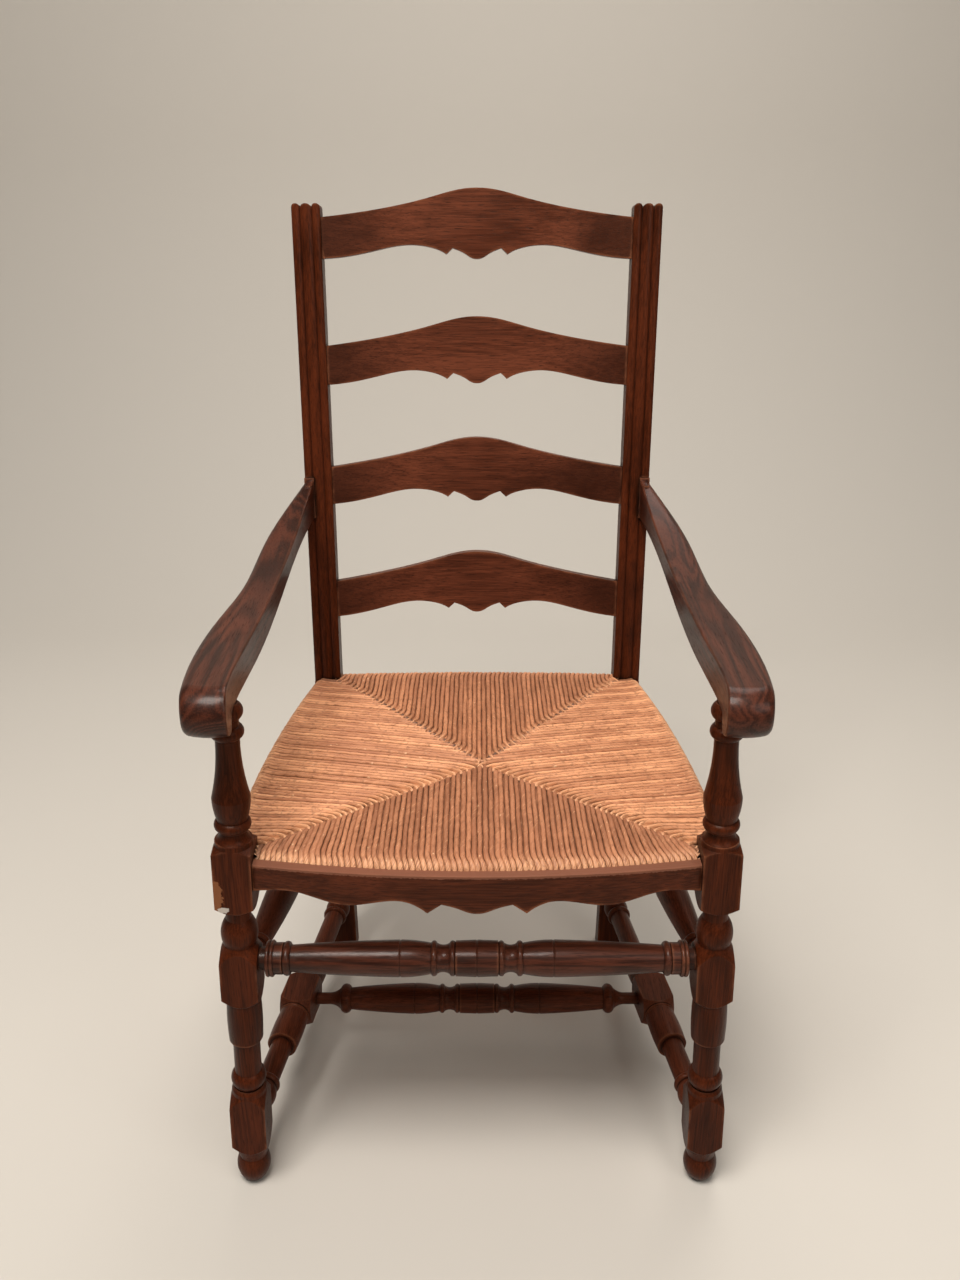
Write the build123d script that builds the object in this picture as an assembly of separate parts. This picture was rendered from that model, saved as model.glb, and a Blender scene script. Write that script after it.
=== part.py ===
from build123d import *

import os
from math import copysign, cos, radians, sin, sqrt, tan

# Ladder-back carver chair with turned legs and a rush seat.
# Millimetres, +Z up, the sitter faces -Y, origin on the floor under the chair's middle.
# Everything is drawn with the front leg axes at y = 0 and centred at the end.

# Fits
fit = 0.2  # gap on each side of a tenon in its mortise
rush_gap = 0.4  # gap between the rush and the wood it lies against

# Front legs: heights of the turned steps, from the floor up
leg_stock = 40.0
leg_spacing = 502.0  # between the leg axes at the seat rails
leg_splay = 1.9  # degrees, the feet stand wider than the arms
turning_allowance = 0.4  # between the square stock and the largest turned radius
corner_clearance = 1.0  # a turned outline passes this far outside a square block's corners
foot_height = 38.0
foot_base_radius = 9.0
foot_neck_radius = 16.0
foot_swell = 6.6
ankle = 16.0
flare_below = 12.0
flare_above = 16.0
flare_top = 5.0  # on the upper block, flatter than the others
lower_block = 55.0
collar = 5.0
groove = 4.0
groove_depth = 2.2
ankle_ring = 21.0
shaft = 47.0
shaft_radius = 15.0
cup = 55.0
cup_taper = 0.9
middle_block = 44.0
ball = 32.0
ball_neck = 11.0
ball_neck_radius = 13.5
upper_block = 65.0
bell = 12.0
bell_foot_radius = 18.4
bell_neck_radius = 13.8
bell_hollow = 1.5
support_ring = 12.0
support_ring_radius = 19.0
baluster_foot_radius = 15.6
baluster_belly = 26.0
baluster_taper = 67.0
baluster_neck_radius = 12.3
top_ring = 14.0
top_cove = 7.0
top_bead = 17.0
top_ring_radius = 17.0
arm_tenon_radius = 6.0
arm_tenon_length = 20.0

# Back posts
post_width = 35.5
post_depth = 28.0
post_spacing = 448.0  # over the outer faces at the bend
post_setback = 413.0  # from the front leg axes to the front of the posts
post_rake = 7.4  # degrees
post_splay = 0.5  # degrees, the posts part towards the top
post_length = 677.0  # from the bend to the top, along the rake
bend_drop = 48.0  # the bend lies below the seat rails
reed_start = 58.0  # from the bend up to the start of the reeds
reed_narrow = 10.5
reed_relief = 2.6
reed_set = 0.3  # the reeds stand this far behind the plain face below them
reed_flat = 1.0  # left level on the rounded top of a reed

# Ladder slats, all cut to one pattern
slat_names = ("bottom", "lower", "upper", "top")
slat_thickness = 13.0
slat_bow = 22.0
slat_recess = 6.0  # from the front of the posts to the front of a slat end
slat_first = 149.0  # from the bend to the underside of the lowest slat end, along the rake
slat_head = 64.8  # from the underside of the top slat's ends to the top of the posts
slat_end = 48.0
slat_end_fall = 0.12  # slope of the top edge at the posts
slat_crest = 86.0
slat_shoulder_rise = 75.5
slat_shoulder_half = 56.0
slat_arch_rise = 16.0
slat_arch_half = 62.0
slat_arch_slope = 0.02  # of the lower edge at the posts
slat_tip_rise = 7.0
slat_tip_half = 39.0
slat_tip_slope = 0.75
slat_notch_rise = 14.5
slat_notch_half = 31.0
slat_lobe_rise = 1.5
slat_lobe_slope = 0.35  # of the lobe's edge at the notch
slat_tongue = 12.0
slat_tongue_inset = 4.0
slat_tongue_thickness = 7.0

# Arms
arm_width = 49.5  # at its widest, behind the leg
arm_thickness = 35.0
arm_inset = 11.0  # from the leg axis to the arm's inner face
arm_swell = 50.0  # from the leg axis back to the widest place
arm_nose = 62.0  # from the leg axis to the front of the knuckle
arm_nose_draw = 4.5  # the knuckle turns in by this much
arm_nose_taper = 6.5  # and is narrower by this much
arm_turn = 0.03  # slope in plan of the inner face over the leg
knuckle_drop = 16.0
knuckle_round = 62.0  # plan radius of the knuckle's front
arm_end_thickness = 12.5
arm_end_drop = 49.0  # from the arm's underside at the leg up to that at the post
arm_end_height = 53.0
arm_end_fall = 0.42  # slope of the top at the post
arm_end_outer_turn = 0.35  # slopes in plan of the two faces at the post
arm_end_inner_turn = 0.07
arm_elbow = 330.0  # from the leg axis back to the elbow
arm_elbow_width = 37.5
arm_elbow_inset = 11.5  # the elbow lies this much further in than the arm over the leg
arm_elbow_rise = 26.0
arm_elbow_thickness = 24.5
arm_waist = 222.0  # from the leg axis back to the waist
arm_waist_inset = 17.0  # the outer face lies this much further in at the waist than at its widest
arm_level = 85.0  # from the leg axis back to where the underside starts to rise
arm_outer_round = 9.0
arm_inner_round = 2.0
arm_facing = 0.7  # share of a face's normal across the chair that makes it an inner or outer face
arm_housing = 3.5
arm_tongue = 14.0
arm_tongue_thickness = 7.0
arm_tongue_height = 36.0

# Front apron
apron_thickness = 12.0
apron_bow = 20.0
apron_face = 15.0  # from the leg axes forward to the apron's face at its ends
apron_drop = 14.0  # below the top of the leg's upper block
apron_end = 32.0
apron_end_slope = 0.1
apron_belly_drop = 39.0
apron_belly_half = 136.0
apron_arch_drop = 31.0
apron_arch_half = 80.0
apron_tip_drop = 45.0
apron_tip_half = 51.0
apron_tip_slope = 0.9
apron_notch_drop = 34.0
apron_notch_half = 36.5
apron_lobe_drop = 45.0
apron_lobe_slope = 0.2  # of the lobe's edge at the notch
apron_shoulder_half = 188.0
apron_shoulder_drop = 27.0
apron_tongue = 11.0
apron_tongue_inset = 4.0

# Seat rails inside the rush
rail_thickness = 16.0
rail_height = 20.0
rail_below_block = 22.0  # rail centre below the top of the leg's upper block
rail_tenon = 10.0
rail_tenon_thickness = 9.0
rail_tenon_height = 14.0

# Rush seat
rush_wrap = 5.5
rush_side_swell = 12.0
rush_roll = 13.0
seat_crown = 5.0

# Stretchers
stretcher_tenon_radius = 7.0
stretcher_tenon_length = 14.0
front_stretcher_drop = 3.0  # below the top of the middle block
upper_side_rise = 15.0  # above the foot of the middle block
lower_side_drop = 5.0  # below the middle of the lower block
barrel_half = 23.0
barrel_radius = 19.6
score_width = 1.2
score_depth = 0.8
bead = 6.5
bead_radius = 18.8
bead_root = 16.4
cove = 13.5
cove_depth = 2.0
swell_reach = 32.0  # from the last bead out to the swell's score line
swell_radius = 19.8
front_shaft_radius = 14.4
end_ring = 8.5
end_ring_radius = 18.4
drum = 9.5
drum_radius = 17.0
double_ring = 4.2
double_ring_radius = 19.6
double_ring_depth = 2.0
front_neck = 8.0
front_neck_radius = 12.2

cross_setback = 203.0  # from the front leg axes to the cross stretcher
cross_neck = 33.0
cross_neck_radius = 7.6
mushroom = 14.0
mushroom_radius = 19.0
cross_shaft_radius = 14.0

side_block = 41.0
side_block_half = 20.0
side_flare = 10.0
side_cup = 52.0
side_cup_radius = 19.6
side_cup_swell = 1.0
side_bead = 4.5
side_bead_depth = 2.0
side_shaft_radius = 13.2
side_ring = 9.0
side_ring_radius = 16.8
dome = 28.0
dome_neck = 2.5  # plain end that meets the leg or post askew
dome_radius = 12.0
dome_swell = 4.6

spindle_radius = 18.6
spindle_belly = 60.0
spindle_end_radius = 12.0
spindle_ring = 8.0
spindle_ring_radius = 14.5
spindle_neck = 34.0
spindle_neck_radius = 11.0

# Heights that follow from the leg's steps and the post's length
lower_block_foot = foot_height + ankle + flare_below
lower_block_top = lower_block_foot + lower_block
cup_foot = lower_block_top + flare_above + collar + groove + ankle_ring + shaft
middle_block_foot = cup_foot + cup + flare_below
middle_block_top = middle_block_foot + middle_block
upper_block_foot = middle_block_top + flare_above + collar + ball + ball_neck + flare_below
upper_block_top = upper_block_foot + upper_block
support_foot = upper_block_top + flare_top + collar + bell
baluster_foot = support_foot + support_ring
top_ring_foot = baluster_foot + baluster_belly + baluster_taper
arm_underside = top_ring_foot + top_ring + top_cove + top_bead
lower_side_z = lower_block_foot + lower_block / 2 - lower_side_drop
upper_side_z = middle_block_foot + upper_side_rise
front_stretcher_z = middle_block_top - front_stretcher_drop
rail_z = upper_block_top - rail_below_block
apron_top = upper_block_top - apron_drop
bend_z = rail_z - bend_drop
slat_count = len(slat_names)
slat_pitch = (post_length - slat_first - slat_head) / (slat_count - 1)

half_leg = leg_stock / 2
turned_radius = half_leg - turning_allowance
block_reach = half_leg * sqrt(2) + corner_clearance
lean = radians(leg_splay)
rake = radians(post_rake)
part_angle = radians(post_splay)


def leg_x(z):
    """Distance of a front leg's axis from the chair's middle plane."""
    return leg_spacing / 2 + tan(lean) * (rail_z - z)


def leg_face_x(z):
    """Distance of a front leg's inner face from the middle plane."""
    return leg_x(z) - half_leg / cos(lean)


def post_outer_x(z):
    """Distance of a post's outer face from the middle plane."""
    return post_spacing / 2 + tan(part_angle) * (z - bend_z)


def post_inner_x(z):
    """Distance of a post's inner face from the middle plane."""
    return post_outer_x(z) - post_width / cos(part_angle)


def post_front_y(z):
    """Depth of the posts' front faces, upright below the bend and raked above it."""
    return post_setback + tan(rake) * max(z - bend_z, 0)


leg_frame = Pos(leg_x(0), 0, 0) * Rot(0, -leg_splay, 0)
leg_inner_plane = Plane(
    origin=(leg_face_x(rail_z), 0, rail_z), z_dir=(-cos(lean), 0, -sin(lean))
)
leg_back_plane = Plane(origin=(leg_spacing / 2, half_leg, rail_z), z_dir=(0, 1, 0))
post_frame = Pos(post_spacing / 2, post_setback, bend_z) * Rot(0, post_splay, 0)
post_column = post_frame * Rot(-post_rake, 0, 0)
post_front_plane = Plane(post_frame * Rot(90, 0, 0))
post_raked_plane = Plane(post_column * Rot(90, 0, 0))
post_inner_plane = Plane(post_frame * Pos(-post_width, 0, 0) * Rot(0, -90, 0))
back_frame = Pos(0, post_setback, bend_z) * Rot(-post_rake, 0, 0)
floor = Plane.XY


class Turning:
    """Outline of a turned piece, drawn along its axis from one end to the other."""

    def __init__(self, start, radius):
        self.start = start
        self.at = start
        self.radius = radius
        self.edges = [Line((0, 0, start), (radius, 0, start))]

    def to(self, rise, radius, swell=0.0):
        """Go on by rise to a new radius, straight or on an arc that swells off the line."""
        first = Vector(self.radius, 0, self.at)
        last = Vector(radius, 0, self.at + rise)
        if swell:
            chord = last - first
            outward = Vector(chord.Z, 0, -chord.X).normalized()
            self.edges.append(ThreePointArc(first, (first + last) / 2 + outward * swell, last))
        else:
            self.edges.append(Line(first, last))
        self.at += rise
        self.radius = radius
        return self

    def step(self, radius):
        """Step square to a new radius."""
        return self.to(0, radius) if radius != self.radius else self

    def bead(self, rise, root, crest):
        """A rounded ring that stands up from its root."""
        return self.step(root).to(rise, root, crest - root)

    def score(self):
        """A fine line cut round the piece."""
        return self.to(score_width, self.radius - score_depth).to(score_width, self.radius + score_depth)

    def solid(self):
        """Turn the outline about its axis."""
        last = Line((self.radius, 0, self.at), (0, 0, self.at))
        spine = Line((0, 0, self.at), (0, 0, self.start))
        return revolve(make_face(self.edges + [last, spine]), Axis.Z)


def keep(shape, plane):
    """The side of a shape that the plane faces."""
    return split(shape, bisect_by=plane, keep=Keep.TOP)


def both_sides(half):
    """A right-hand piece together with its mirror image."""
    return half + mirror(half, about=Plane.YZ)


def along(start, end):
    """Frame at start whose local z runs to end, with local x upward."""
    return Plane(origin=start, x_dir=(0, 0, 1), z_dir=Vector(*end) - Vector(*start))


def pin(frame, face, clearance=0.0):
    """Round tenon of a stretcher whose shoulder lies at face, or its mortise."""
    root = face - stretcher_tenon_length
    length = 2 * stretcher_tenon_length + clearance
    tip = Cylinder(stretcher_tenon_radius + clearance, length, align=(Align.CENTER, Align.CENTER, Align.MIN))
    return frame * Pos(0, 0, root) * tip


def between(shape, plane):
    """The part of a shape between a plane on the right and its mirror image."""
    x, y, z = plane.origin
    facing_x, facing_y, facing_z = plane.z_dir
    return keep(keep(shape, plane), Plane(origin=(-x, y, z), z_dir=(-facing_x, facing_y, facing_z)))


def bow_y(x, half, bow, end_y):
    """Depth at x of a level arc that passes end_y at half and stands off by bow in the middle."""
    radius = (half**2 + bow**2) / (2 * abs(bow))
    return end_y + bow - copysign(radius - sqrt(radius**2 - x**2), bow)


def bowed_bar(half, reach, bow, end_y, thickness, height):
    """Level bar across the chair to reach on each side, bowed in plan."""
    tip = bow_y(reach, half, bow, end_y)
    path = ThreePointArc((-reach, tip), (0, end_y + bow), (reach, tip))
    heading = path % 0
    section = Plane(origin=path @ 0, x_dir=Vector(0, 0, 1).cross(heading), z_dir=heading)
    return sweep(section * Rectangle(thickness, height), path)


# Front leg


def leg_blank():
    """The turned leg with its three square blocks, upright on its own axis."""
    t = Turning(-groove, foot_base_radius)
    t.to(groove, foot_base_radius)
    t.to(foot_height, foot_neck_radius, foot_swell)
    t.to(ankle, half_leg)
    t.to(flare_below, block_reach).to(lower_block, block_reach)
    t.to(flare_above, half_leg).to(collar, turned_radius)
    t.to(groove, turned_radius - groove_depth)
    t.bead(ankle_ring, shaft_radius, turned_radius)
    t.to(shaft, shaft_radius)
    t.step(turned_radius - cup_taper)
    t.to(cup, turned_radius - cup_taper, cup_taper)
    t.to(flare_below, block_reach).to(middle_block, block_reach)
    t.to(flare_above, half_leg).to(collar, turned_radius - groove_depth)
    t.to(ball, ball_neck_radius, (turned_radius + groove_depth - ball_neck_radius) / 2)
    t.to(ball_neck, ball_neck_radius)
    t.to(flare_below, block_reach).to(upper_block, block_reach)
    t.to(flare_top, half_leg).to(collar, turned_radius)
    t.step(bell_foot_radius)
    t.to(bell, bell_neck_radius, -bell_hollow)
    t.bead(support_ring, baluster_foot_radius, support_ring_radius)
    t.to(baluster_belly, turned_radius, groove_depth / 2)
    t.to(baluster_taper, baluster_neck_radius, -groove_depth)
    t.bead(top_ring, baluster_neck_radius, top_ring_radius)
    t.to(top_cove, baluster_neck_radius)
    t.bead(top_bead, baluster_neck_radius, top_ring_radius)
    t.to(groove, baluster_neck_radius)
    square = Box(leg_stock, leg_stock, t.at + groove, align=(Align.CENTER, Align.CENTER, Align.MIN))
    return t.solid() & Pos(0, 0, -groove) * square


def arm_pin(clearance=0.0):
    """Tenon on top of the leg, or its mortise in the arm."""
    length = 2 * arm_tenon_length + clearance
    tip = Cylinder(arm_tenon_radius + clearance, length, align=(Align.CENTER, Align.CENTER, Align.MIN))
    return leg_frame * Pos(0, 0, arm_underside - arm_tenon_length) * tip


def front_leg():
    """Right front leg, cut level at the floor and under the arm, with all its mortises."""
    under_arm = Plane(origin=(0, 0, arm_underside), z_dir=(0, 0, -1))
    leg = keep(keep(leg_frame * leg_blank(), floor), under_arm) + arm_pin()
    return leg - [
        front_stretcher_pin(fit),
        upper_side_pins(fit)[0],
        lower_side_pins(fit)[0],
        apron_tongue_right(fit),
        front_rail_tenon(fit),
        side_rail_tenons(fit)[0],
    ]


# Back post


def post_stock(raked, margin=0.0):
    """Square post, upright to the bend and raked above it, or the room round it."""
    up = Vector(0, sin(rake), cos(rake))
    back = Vector(0, cos(rake), -sin(rake))
    depth = post_depth + 2 * margin
    foot = -bend_z - groove
    bend = Vector(0, 0, 0)
    back_bend = Vector(0, depth, -depth * tan(rake / 2))
    top = up * raked
    back_top = top + back * depth
    outline = Polyline((0, 0, foot), bend, top, back_top, back_bend, (0, depth, foot), close=True)
    stock = extrude(make_face(outline), post_width + 2 * margin, dir=(-1, 0, 0))
    return Pos(margin, -margin, 0) * stock


def reeded_column():
    """Upper post: three reeds on the front, each with a rounded top."""
    edges = [0.0, reed_narrow, post_width - reed_narrow, post_width]
    valley = reed_set + reed_relief
    reeds = []
    for left, right in zip(edges[:-1], edges[1:]):
        crest = ThreePointArc((-left, valley), (-(left + right) / 2, reed_set), (-right, valley))
        sides = Polyline((-right, valley), (-right, post_depth), (-left, post_depth), (-left, valley))
        reed = extrude(make_face([crest, sides]), post_length - reed_start, dir=(0, 0, 1))
        ends = reed.edges().filter_by(Axis.Y).group_by(Axis.Z)[-1]
        reeds.append(Pos(0, 0, reed_start) * fillet(ends, (right - left - reed_flat) / 2))
    return Rot(-post_rake, 0, 0) * (reeds[0] + reeds[1] + reeds[2])


def back_post():
    """Right back post, cut level at the floor, with all its mortises."""
    post = keep(post_frame * (post_stock(reed_start) + reeded_column()), floor)
    return post - [
        *[slat_tongue_right(rung, fit) for rung in range(slat_count)],
        back_rail_tenon(fit),
        side_rail_tenons(fit)[1],
        upper_side_pins(fit)[1],
        lower_side_pins(fit)[1],
        *arm_end(fit),
    ]


# Ladder slats, drawn on the back plane with x across and z up the rake


def slat_base(rung):
    """Height of a slat's end above the bend, along the rake."""
    return slat_first + rung * slat_pitch


def slat_shoulder(rung):
    """Half length of a slat between the posts, at its base."""
    return post_inner_x(bend_z + slat_base(rung) * cos(rake))


def slat_bar(rung, thickness, height, reach_over):
    """Bowed blank of a slat, centred on the slat's end."""
    half = slat_shoulder(rung)
    reach = half + slat_tongue + reach_over
    bar = bowed_bar(half, reach, slat_bow, slat_recess + slat_thickness / 2, thickness, height)
    return Pos(0, 0, slat_base(rung) + slat_end / 2) * bar


def slat_tongue_right(rung, clearance=0.0):
    """Tongue at a slat's right end, or its mortise."""
    height = slat_end - 2 * slat_tongue_inset + 2 * clearance
    bar = slat_bar(rung, slat_tongue_thickness + 2 * clearance, height, clearance)
    return keep(back_frame * bar, -post_inner_plane)


def slat_outline(rung):
    """Front outline of a slat: serpentine top, arched underside with two tips and a lobe."""
    base = slat_base(rung)

    def at(x, rise):
        return (x, base + rise)

    end = slat_shoulder(rung) + slat_tongue
    lobe_side = (slat_notch_half / 2, (slat_notch_rise + slat_lobe_rise) / 2)
    right = [
        Spline(
            at(0, slat_crest),
            at(slat_shoulder_half, slat_shoulder_rise),
            at(end, slat_end),
            tangents=((1, 0), (1, -slat_end_fall)),
        ),
        Line(at(end, slat_end), at(end, 0)),
        Spline(
            at(end, 0),
            at(slat_arch_half, slat_arch_rise),
            at(slat_tip_half, slat_tip_rise),
            tangents=((-1, slat_arch_slope), (-1, -slat_tip_slope)),
        ),
        Line(at(slat_tip_half, slat_tip_rise), at(slat_notch_half, slat_notch_rise)),
        Spline(
            at(slat_notch_half, slat_notch_rise),
            at(*lobe_side),
            at(0, slat_lobe_rise),
            tangents=((-1, -slat_lobe_slope), (-1, 0)),
        ),
    ]
    left = [mirror(edge, about=Plane.YZ) for edge in right]
    return Plane.XZ * make_face(right + left)


def slat(rung):
    """One ladder slat with a tongue at each end."""
    blank = slat_bar(rung, slat_thickness, 2 * slat_crest, 0)
    room = 2 * (slat_bow + slat_thickness)
    body = blank & extrude(slat_outline(rung), room, both=True)
    return between(back_frame * body, post_inner_plane) + both_sides(slat_tongue_right(rung))


# Front apron


def apron_bar(thickness, height, reach_over):
    """Bowed blank of the apron with its top at the apron's top."""
    half = leg_face_x(apron_top)
    reach = half + apron_tongue + reach_over
    end_y = -apron_face + apron_thickness / 2
    bar = bowed_bar(half, reach, -apron_bow, end_y, thickness, height)
    return Pos(0, 0, apron_top - height / 2) * bar


def apron_tongue_right(clearance=0.0):
    """Tongue at the apron's right end, or its mortise."""
    height = apron_end - 2 * apron_tongue_inset + 2 * clearance
    thickness = apron_thickness - apron_tongue_inset + 2 * clearance
    bar = Pos(0, 0, clearance - apron_tongue_inset) * apron_bar(thickness, height, clearance)
    return keep(bar, -leg_inner_plane)


def apron_outline():
    """Front outline of the apron: straight top, shaped lower edge like that of the slats."""

    def at(x, drop):
        return (x, apron_top - drop)

    end = leg_face_x(apron_top) + apron_tongue
    right = [
        Line(at(0, 0), at(end, 0)),
        Line(at(end, 0), at(end, apron_end)),
        Spline(
            at(end, apron_end),
            at(apron_shoulder_half, apron_shoulder_drop),
            at(apron_belly_half, apron_belly_drop),
            at(apron_arch_half, apron_arch_drop),
            at(apron_tip_half, apron_tip_drop),
            tangents=((-1, apron_end_slope), (-1, -apron_tip_slope)),
        ),
        Line(at(apron_tip_half, apron_tip_drop), at(apron_notch_half, apron_notch_drop)),
        Spline(
            at(apron_notch_half, apron_notch_drop),
            at(apron_notch_half / 2, (apron_notch_drop + apron_lobe_drop) / 2),
            at(0, apron_lobe_drop),
            tangents=((-1, -apron_lobe_slope), (-1, 0)),
        ),
    ]
    left = [mirror(edge, about=Plane.YZ) for edge in right]
    return Plane.XZ * make_face(right + left)


def front_apron():
    """Bowed apron under the front of the seat, tongued into both legs."""
    blank = apron_bar(apron_thickness, 2 * apron_lobe_drop, 0)
    room = 2 * (apron_bow + apron_thickness)
    body = blank & extrude(apron_outline(), room, both=True)
    return between(body, leg_inner_plane) + both_sides(apron_tongue_right())


# Seat rails


def front_rail_y():
    """Middle line of the front rail where it meets the legs."""
    return -apron_face + apron_thickness + rush_gap + rush_wrap + rail_thickness / 2


def front_rail_tenon(clearance=0.0):
    """Right tenon of the front rail, or its mortise."""
    reach = leg_face_x(rail_z) + rail_tenon + clearance
    thickness = rail_tenon_thickness + 2 * clearance
    height = rail_tenon_height + 2 * clearance
    bar = bowed_bar(leg_face_x(apron_top), reach, -apron_bow, front_rail_y(), thickness, height)
    return keep(Pos(0, 0, rail_z) * bar, -leg_inner_plane)


def front_rail(margin=0.0):
    """Bowed rail behind the apron, or the space it takes in the rush."""
    half = leg_face_x(apron_top)
    height = rail_height + 2 * margin
    bar = bowed_bar(half, half + leg_stock, -apron_bow, front_rail_y(), rail_thickness + 2 * margin, height)
    return between(Pos(0, 0, rail_z) * bar, leg_inner_plane) + both_sides(front_rail_tenon())


def back_rail_y():
    """Middle line of the back rail, in the middle of the posts."""
    return post_front_y(rail_z) + post_depth / cos(rake) / 2


def back_rail_tenon(clearance=0.0):
    """Right tenon of the back rail, or its mortise."""
    length = 2 * (post_inner_x(rail_z) + rail_tenon + clearance)
    thickness = rail_tenon_thickness + 2 * clearance
    bar = Box(length, thickness, rail_tenon_height + 2 * clearance)
    return keep(Pos(0, back_rail_y(), rail_z) * bar, -post_inner_plane)


def back_rail(margin=0.0):
    """Straight rail between the posts, or the space it takes in the rush."""
    box = Box(post_spacing, rail_thickness + 2 * margin, rail_height + 2 * margin)
    return between(Pos(0, back_rail_y(), rail_z) * box, post_inner_plane) + both_sides(back_rail_tenon())


def side_rail_frame():
    """Frame along the right side rail, from the front leg's axis to the post's middle."""
    post_middle = post_inner_x(rail_z) + post_width / 2
    return along((leg_x(rail_z), 0, rail_z), (post_middle, back_rail_y(), rail_z))


def side_rail_faces():
    """Distances along the side rail to the leg's back face and the post's front face."""
    pull = side_rail_frame().z_dir.Y
    return half_leg / pull, post_front_y(rail_z) / pull


def side_rail_bar(start, end, thickness, height):
    """Straight bar along the side rail's line."""
    box = Box(height, thickness, end - start, align=(Align.CENTER, Align.CENTER, Align.MIN))
    return side_rail_frame() * Pos(0, 0, start) * box


def side_rail_tenons(clearance=0.0):
    """The two tenons of the right side rail, or their mortises."""
    front, rear = side_rail_faces()
    over = rail_tenon + clearance
    thickness = rail_tenon_thickness + 2 * clearance
    height = rail_tenon_height + 2 * clearance
    return (
        side_rail_bar(front - over, front + over, thickness, height),
        side_rail_bar(rear - over, rear + over, thickness, height),
    )


def side_rail(margin=0.0):
    """Right side rail between leg and post, or the space it takes in the rush."""
    front, rear = side_rail_faces()
    thickness = rail_thickness + 2 * margin
    bar = side_rail_bar(front - leg_stock, rear + leg_stock, thickness, rail_height + 2 * margin)
    body = keep(keep(bar, leg_back_plane), post_raked_plane)
    tenons = side_rail_tenons()
    return body + tenons[0] + tenons[1]


# Rush seat


def rush_outline():
    """Plan outline of the rush: bowed front, swollen sides, straight back."""
    spread = rail_thickness / 2 + rush_wrap
    front_y = front_rail_y() - spread
    back_y = back_rail_y() + spread
    front_x = leg_x(rail_z) + spread
    back_x = post_inner_x(rail_z) + post_width / 2 + spread
    edge_y = bow_y(front_x, leg_face_x(apron_top), -apron_bow, front_y)
    side_middle = ((front_x + back_x) / 2 + rush_side_swell, (edge_y + back_y) / 2)
    right = ThreePointArc((front_x, edge_y), side_middle, (back_x, back_y))
    left = mirror(right, about=Plane.YZ)
    front = ThreePointArc((-front_x, edge_y), (0, front_y - apron_bow), (front_x, edge_y))
    back = Line((back_x, back_y), (-back_x, back_y))
    return make_face([front, right, back, left])


def rush_seat():
    """Woven rush over the rails: crowned top, rolled edges, stopped at the legs and posts."""
    foot = rail_z - rail_height / 2 - rush_wrap
    edge = rail_z + rail_height / 2 + rush_wrap
    half = leg_spacing / 2
    dome_size = (half**2 + seat_crown**2) / (2 * seat_crown)
    middle_y = (front_rail_y() + back_rail_y()) / 2
    slab = Pos(0, 0, foot) * extrude(rush_outline(), edge + seat_crown - foot)
    slab = slab & Pos(0, middle_y, edge + seat_crown - dome_size) * Sphere(dome_size)
    rims = slab.faces().sort_by(Axis.Z)
    slab = fillet(rims[0].edges() + rims[-1].edges(), rush_roll)
    leg_room = Box(leg_stock + 2 * rush_gap, leg_stock + 2 * rush_gap, 2 * arm_underside)
    post_room = post_stock(slat_first, rush_gap)
    post_room = post_room + Pos(post_width / 2, 0, 0) * post_room
    for side in (leg_frame * leg_room, post_frame * post_room, side_rail(rush_gap)):
        slab = slab - side - mirror(side, about=Plane.YZ)
    return slab - front_rail(rush_gap) - back_rail(rush_gap)


# Stretchers


def swelled_half(run, shaft_end_radius):
    """Barrel, beads, cove and swelled shaft of a stretcher, from its middle out to run."""
    t = Turning(0, barrel_radius - score_depth)
    t.to(score_width, barrel_radius)
    t.to(barrel_half - score_width, barrel_radius - score_depth)
    t.bead(bead, bead_root, bead_radius)
    t.to(cove, bead_root, -cove_depth)
    t.bead(bead, bead_root, bead_radius)
    t.to(swell_reach, swell_radius, score_depth)
    t.score()
    t.to(run - t.at, shaft_end_radius, score_depth)
    return t


front_stretcher_frame = Plane(origin=(0, 0, front_stretcher_z), x_dir=(0, 1, 0), z_dir=(1, 0, 0))


def front_stretcher_pin(clearance=0.0):
    """Right tenon of the front stretcher, or its mortise."""
    return pin(front_stretcher_frame, leg_face_x(front_stretcher_z), clearance)


def front_stretcher():
    """Turned stretcher between the front legs."""
    run = leg_face_x(front_stretcher_z) - front_neck - 2 * double_ring - drum - end_ring
    t = swelled_half(run, front_shaft_radius)
    t.bead(end_ring, front_shaft_radius, end_ring_radius)
    t.step(drum_radius).to(drum, drum_radius)
    for _ in range(2):
        t.bead(double_ring, double_ring_radius - double_ring_depth, double_ring_radius)
    t.step(front_neck_radius).to(2 * front_neck, front_neck_radius)
    half = keep(front_stretcher_frame * t.solid(), leg_inner_plane) + front_stretcher_pin()
    return both_sides(half)


def side_line(height):
    """Ends of a side stretcher's axis, in the middle of the front leg and of the post."""
    post_middle = post_inner_x(height) + post_width / 2
    return Vector(leg_x(height), 0, height), Vector(post_middle, post_setback + post_depth / 2, height)


def side_frames(height, setback):
    """Frames on a side stretcher's axis, facing the leg and the post, and the runs to their faces."""
    leg, post = side_line(height)
    pull = (post - leg).normalized().Y
    middle = leg + (post - leg) * (setback / post.Y)
    runs = ((setback - half_leg) / pull, (post_setback - setback) / pull)
    return (along(middle, leg), along(middle, post)), runs


def side_pins(height, setback, clearance=0.0):
    """Front and back tenons of a right side stretcher, or their mortises."""
    frames, runs = side_frames(height, setback)
    return [pin(frame, run, clearance) for frame, run in zip(frames, runs)]


def side_stretcher(height, setback, half_turning):
    """A right side stretcher from two turned halves, shouldered on the leg and on the post."""
    frames, runs = side_frames(height, setback)
    tenons = side_pins(height, setback)
    front = keep(frames[0] * half_turning(runs[0]), leg_back_plane) + tenons[0]
    rear = keep(frames[1] * half_turning(runs[1]), post_front_plane) + tenons[1]
    return front + rear


def lower_side_pins(clearance):
    """Tenons of the right lower side stretcher, or their mortises."""
    return side_pins(lower_side_z, cross_setback, clearance)


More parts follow.
